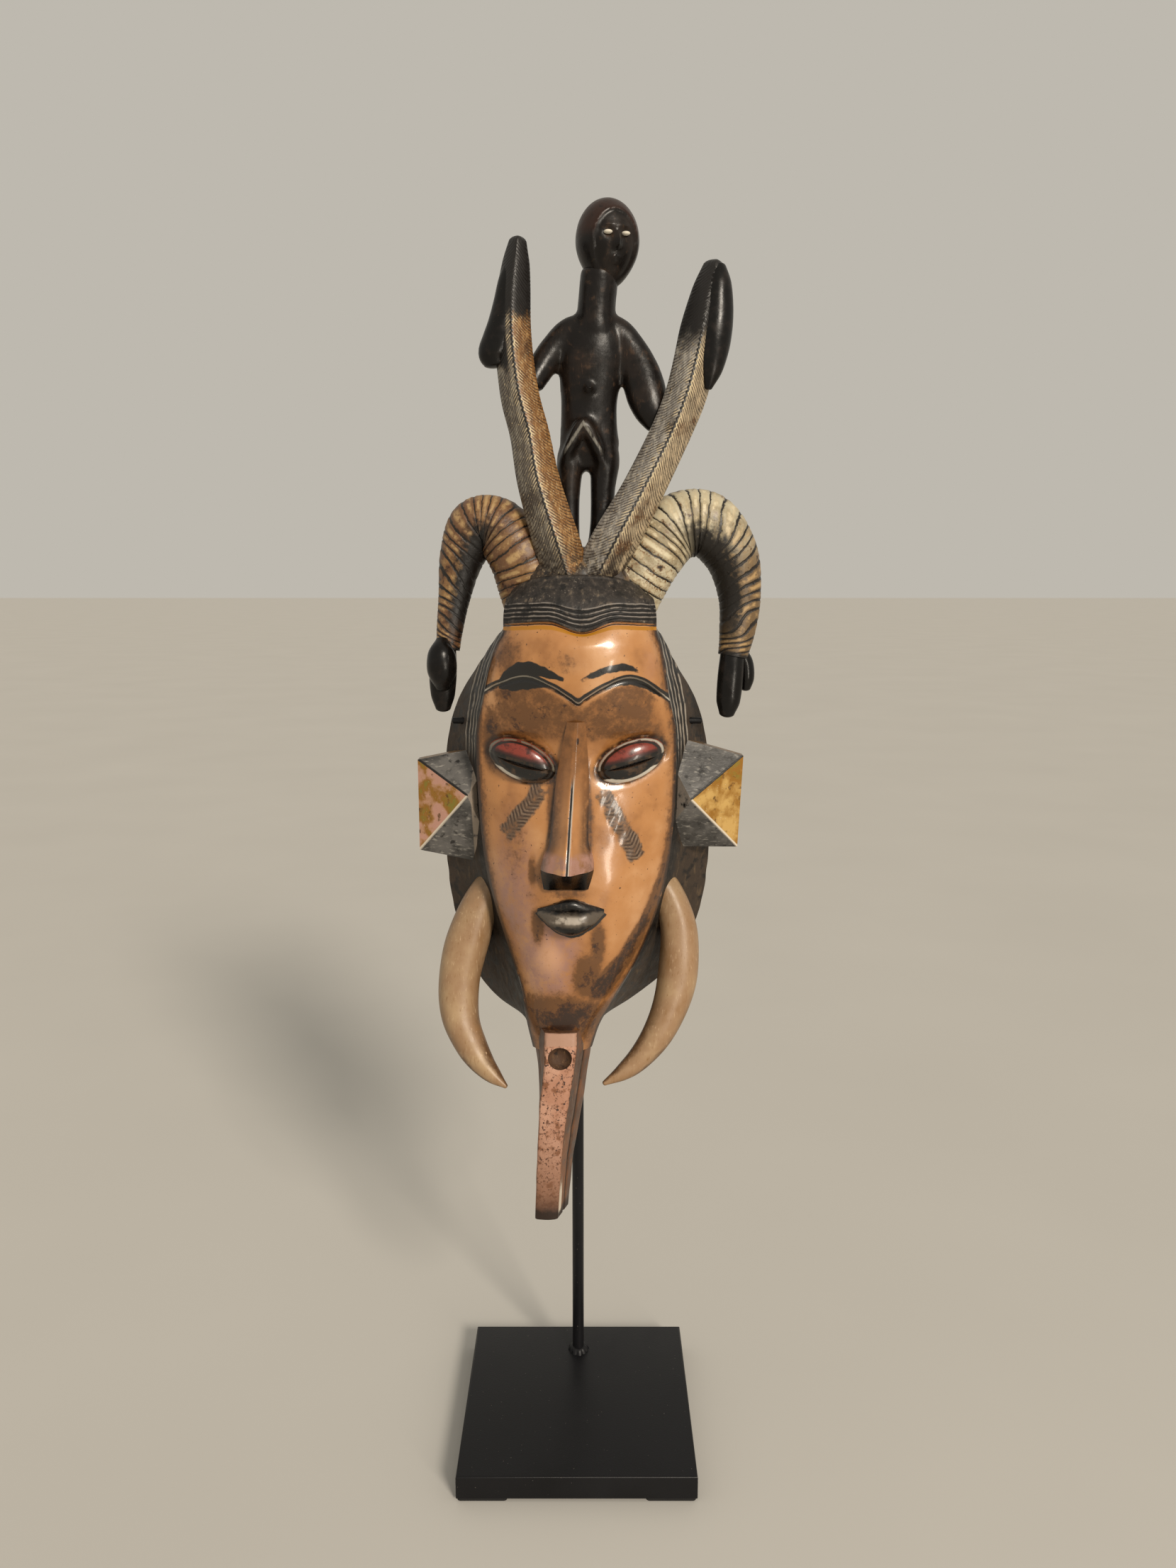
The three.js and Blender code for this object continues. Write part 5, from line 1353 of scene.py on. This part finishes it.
skin_over(shader, colour, gloss, [(hatch, 0.25, 0.2), (mottle, 0.3, 0.5)])


# The standing figure: legs, a slim body, a long neck and a round head with a cap of hair, and two arms that
# grip the tall horns. It is rubbed smooth, so its parts are blended, and its face is a plain carved one.
FIGURE_LIMBS = (
    (((3, 4, 176, 9), (-3, 5, 163, 9), (-4.6, 7, 145, 7.2), (-4.5, 9, 125, 6.4), (-4.5, 11, 104, 7)), 1.0),
    (((12, 4, 176, 9.5), (17, 5, 163, 9.5), (16.2, 7, 145, 7.8), (15.5, 9, 125, 7.2),
        (13.5, 11, 104, 7.5)), 1.0),
    (((8, 4, 158, 12), (8, 4, 168, 18), (7.6, 4, 180, 17.5), (7.6, 4, 194, 17.2), (8.2, 4, 208, 18.6),
        (9.2, 4, 221, 19.6), (10.3, 4, 234, 17.5), (11, 3.5, 243, 13), (11.5, 3, 249, 10)), 0.62),
    (((11.3, 3, 236, 12.6), (12.1, 3, 250, 11.6), (14.0, 3, 270, 11.6)), 1.0),
    (((8, 3, 239, 8.5), (-3, 3, 236, 9.4), (-12, 4, 228, 9), (-20, 7, 217, 8.6),
        (-27, 12, 205, 7.5)), 0.85),
    (((14, 2, 239, 8.5), (24, 2, 236, 9.8), (33, 3, 225, 10.5), (39, 5, 212, 12), (42.5, 8, 199, 12.5),
        (46, 12, 187, 10), (48, 14, 179, 5.5)), 0.8),
    (((-8.5, 10, 157, 3.2), (-3.5, 15, 169, 3.8), (4.2, 16.6, 181, 4), (11.5, 15.4, 170, 3.8),
        (17, 11.5, 156, 3.2)), 1.0),
    (((7.5, 14.5, 204, 2.2), (7.5, 17.6, 201, 2.4)), 1.0),
)
figure = None
for stations, squash in FIGURE_LIMBS:
    grid, _, _ = limb(stations, 26, 26, squash=squash, dome=(0.3, 0.3))
    part = closed_solid("figure", grid, "figure")
    if figure:
        carve(figure, part, "UNION")
    else:
        figure = part
FIGURE_BLEND, FIGURE_POLISH = 1.7, 5
blend = figure.modifiers.new("blend", "REMESH")
blend.mode, blend.voxel_size = "VOXEL", FIGURE_BLEND * MM
polish = figure.modifiers.new("polish", "SMOOTH")
polish.factor, polish.iterations = 0.5, FIGURE_POLISH
choose(figure)
bpy.ops.object.modifier_apply(modifier=blend.name)
bpy.ops.object.modifier_apply(modifier=polish.name)
figure.data.polygons.foreach_set("material_index", [FINISHES.index("figure")] * len(figure.data.polygons))
carve(head, figure, "UNION")

HEAD_X, HEAD_D, HEAD_Z, HEAD_TURN = 18.6, 3.0, 287.9, math.radians(20)
HEAD_HALF_WIDTH, HEAD_HALF_DEPTH, HEAD_HALF_HEIGHT = 19.2, 18.6, 24.2


def head_place(across, forwards):
    """The x and d of a point of the turned head, from its way across the face and forwards."""
    return (HEAD_X + across * math.cos(HEAD_TURN) + forwards * math.sin(HEAD_TURN),
        HEAD_D - across * math.sin(HEAD_TURN) + forwards * math.cos(HEAD_TURN))


t = np.linspace(0.02, 0.98, 64)[:, None] * math.pi
angle = np.linspace(0, 2 * math.pi, 84, endpoint=False)[None]
sx, sd, sz = np.sin(t) * np.cos(angle), np.sin(t) * np.sin(angle), -np.cos(t) + 0 * angle
chin = clamp01(-sz)
wide, deep = 1 - 0.10 * chin**2, 1 - 0.10 * chin**2
face = ease((sd - 0.25) / 0.3) * ease((1 - np.hypot(sx / 0.74, (sz + 0.16) / 0.80)) / 0.10)
cap_edge = np.exp(-(((np.hypot(sx / 0.74, (sz + 0.16) / 0.80) - 1.04) / 0.08) ** 2)) * (sd > 0.1)
hollow = 0.10 * (bell(sx, sz, -0.3, 0.06, 0.17, 0.12) + bell(sx, sz, 0.3, 0.06, 0.17, 0.12))
ridge_width = 0.07 + 0.09 * clamp01(0.2 - sz)
bridge = 0.21 * np.exp(-((sx / ridge_width) ** 2)) * ease((0.16 - sz) / 0.35) * ease((sz + 0.34) / 0.07)
brow = 0.045 * bell(np.abs(sx), sz, 0.27, 0.21, 0.22, 0.06)
lips = 0.085 * (bell(sx, sz, 0, -0.50, 0.17, 0.035) + bell(sx, sz, 0, -0.585, 0.15, 0.04))
reach = 1 - 0.075 * face + 0.02 * cap_edge + face * (bridge + brow + lips - hollow)
px, pd = HEAD_HALF_WIDTH * wide * sx * reach, HEAD_HALF_DEPTH * deep * sd * reach
pz = HEAD_HALF_HEIGHT * sz * (1 + 0.13 * chin**3)
grid = np.stack([*head_place(px, pd), HEAD_Z + pz], 2)
skull = closed_solid("figure_head", grid, "figure", lines=np.stack([face, sx, sz], 2),
    marks=np.stack([1 + 0 * sx, cap_edge, 0 * sx], 2))
for eye_side in (-1, 1):
    eye_x, eye_d = head_place(eye_side * 0.29 * HEAD_HALF_WIDTH, 0.845 * HEAD_HALF_DEPTH)
    grid = egg(eye_x, eye_d, HEAD_Z + 0.05 * HEAD_HALF_HEIGHT, 2.6, 2.0, 1.25, 28, 16)
    white = closed_solid("figure_eye", grid, "figure",
        marks=np.broadcast_to(np.array([2.0, 0, 0]), (16, 28, 3)))
    carve(skull, white, "UNION")
carve(head, skull, "UNION")

# Black stain polished with wax: nearly black, browner where hands have rubbed it and on the cap of hair.
# The grey along the raised V at the hips is a painted highlight.
_, tree, shader = mask_finishes["figure"]
face_mask, _, up_way = measures(tree, "lines")
head_part, _, _ = measures(tree, "marks")
cloud, mottle, fibre = grain_of(tree, 20), grain_of(tree, 5, 7.0), grain_of(tree, 1.4, 4.0, (1, 1, 0.2))
cap_of_hair = both(stripe(head_part, 0.7, 1.4, 0.1), above(face_mask, 0.5, 0.2), above(up_way, -0.1, 0.25))
east, _, up = place_in(tree)
apart = worked("ABSOLUTE", worked("SUBTRACT", east, bar_middle.x + 0.0042))
off_ridge = worked("MULTIPLY_ADD", apart, 1.45, up)
off_ridge = ragged(off_ridge, mottle, 0.001)
ridge_top = bar_middle.z + 0.1825
# Painted highlight: grey along the top of the raised V at the hips.
hip_ridge_highlight = both(stripe(off_ridge, ridge_top - 0.0022, ridge_top + 0.0006, 0.0008),
    above(apart, 0.0125, 0.0095))
colour = coated("#110D0B", ("#221A15", (cloud, 0.45, 0.65)), ("#3A2A1E", (mottle, 0.58, 0.74)),
    ("#453326", (fibre, 0.6, 0.75), (cloud, 0.4, 0.6)),
    ("#2E1C15", cap_of_hair, (mottle, 0.2, 0.5)),
    ("#77746D", hip_ridge_highlight, (fibre, 0.3, 0.55)),
    ("#D6CFBF", (head_part, 1.6, 1.9)))
gloss = gloss_between(mottle, 0.24, 0.42)
skin_over(shader, colour, gloss, [(mottle, 0.35, 0.6), (fibre, 0.2, 0.3)])
shader.inputs["Specular IOR Level"].default_value = 0.3


# The hollow for the wearer's face: it follows the outside at the wall's thickness, opens through the flat
# rim and is left rough from the adze. The eye slits and the cross bar's two holes are cut through to it.
def hollow_ring(z):
    top, bottom = RIM_TOP - WALL, RIM_BOTTOM + WALL
    share = (z - RIM_MIDDLE) / (top - RIM_MIDDLE if z > RIM_MIDDLE else RIM_MIDDLE - bottom)
    outer = RIM_MIDDLE + share * (RIM_TOP - RIM_MIDDLE if z > RIM_MIDDLE else RIM_MIDDLE - RIM_BOTTOM)
    half, rim = face_half_width(outer), max(rim_half_width(outer), 2 * WALL)
    rounding = ease((1 - abs(share)) / 0.34)
    edge = max(-RIM_DEPTH + 4, (face_edge_depth(outer) - WALL) * rounding)
    crown_depth = max(edge + 2, (face_middle_depth(outer) - WALL - 7) * rounding)
    s = np.linspace(0, 1, 17)
    x = half + (rim - half) * (1 - s) ** RIM_FLARE
    side_x = np.maximum(1, x - WALL * (1 + 0.25 * (1 - s)))
    side_d = -RIM_DEPTH + (edge + RIM_DEPTH) * s
    u = np.linspace(1, -1, 33)[1:-1]
    fore_x, fore_d = u * side_x[-1], edge + (crown_depth - edge) * (1 - np.abs(u) ** 2.3)
    chop = 0.55 * np.abs(np.sin(math.pi * (z + 2.5 * np.sin(fore_x / 9)) / 9.5)) * rounding
    lip = -RIM_DEPTH - 4
    x = np.concatenate([side_x[:1], side_x, fore_x, -side_x[::-1], -side_x[:1]])
    d = np.concatenate([[lip], side_d, fore_d - chop, side_d[::-1], [lip]])
    return np.stack([x, d, z + 0 * x], 1)


grid = np.stack([hollow_ring(z) for z in np.linspace(RIM_BOTTOM + WALL + 2, RIM_TOP - WALL - 10, 64)])
carve(head, closed_solid("hollow", grid, "raw"), "DIFFERENCE")

t = np.linspace(0, 1, 25)[:-1]
upper = [((1 - 2 * k) * -SLIT_HALF_LENGTH, 4 * k * (1 - k) * SLIT_ABOVE) for k in t]
lower = [((2 * k - 1) * -SLIT_HALF_LENGTH, -4 * k * (1 - k) * SLIT_BELOW) for k in t]
for side in (1, -1):
    tilt = math.atan(EYE_SLANT)
    ring = [(side * EYE_X + side * (a * math.cos(tilt) - b * math.sin(tilt)),
        EYE_Z - SLIT_DROP + a * math.sin(tilt) + b * math.cos(tilt))
        for a, b in upper + lower]
    grid = np.array([[(x, d, z) for x, z in ring] for d in (0.0, 80.0)])
    carve(head, closed_solid("slit", grid, "raw"), "DIFFERENCE")

# Bare wood inside, dark brown from handling, with the adze's marks and open grain.
_, tree, shader = mask_finishes["raw"]
cloud, mottle = grain_of(tree, 30), grain_of(tree, 5, 7.0)
fibre = grain_of(tree, 1.4, 4.0, (1.0, 1.0, 0.14))
colour = coated("#4A3220", ("#63462D", (cloud, 0.42, 0.62)), ("#7D6040", (fibre, 0.58, 0.74)),
    ("#24170D", (mottle, 0.44, 0.3)), ("#2E1F13", (fibre, 0.4, 0.28)))
rough = gloss_between(mottle, 0.66, 0.85, 0.7)
skin_over(shader, colour, rough, [(fibre, 0.5, 0.6), (mottle, 0.4, 0.8)])

HOLE_RADIUS, HOLE_REACH = BAR_RADIUS + 0.3, 130.0
angle = np.linspace(0, 2 * math.pi, 32, endpoint=False)
grid = np.array([[(x, HOLE_RADIUS * math.cos(a), HOLE_RADIUS * math.sin(a)) for a in angle]
    for x in (-HOLE_REACH, HOLE_REACH)])
carve(head, closed_solid("hole", grid, "raw"), "DIFFERENCE")

bpy.ops.object.shade_smooth_by_angle(angle=math.radians(32))
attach(head, "root")
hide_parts("mask")
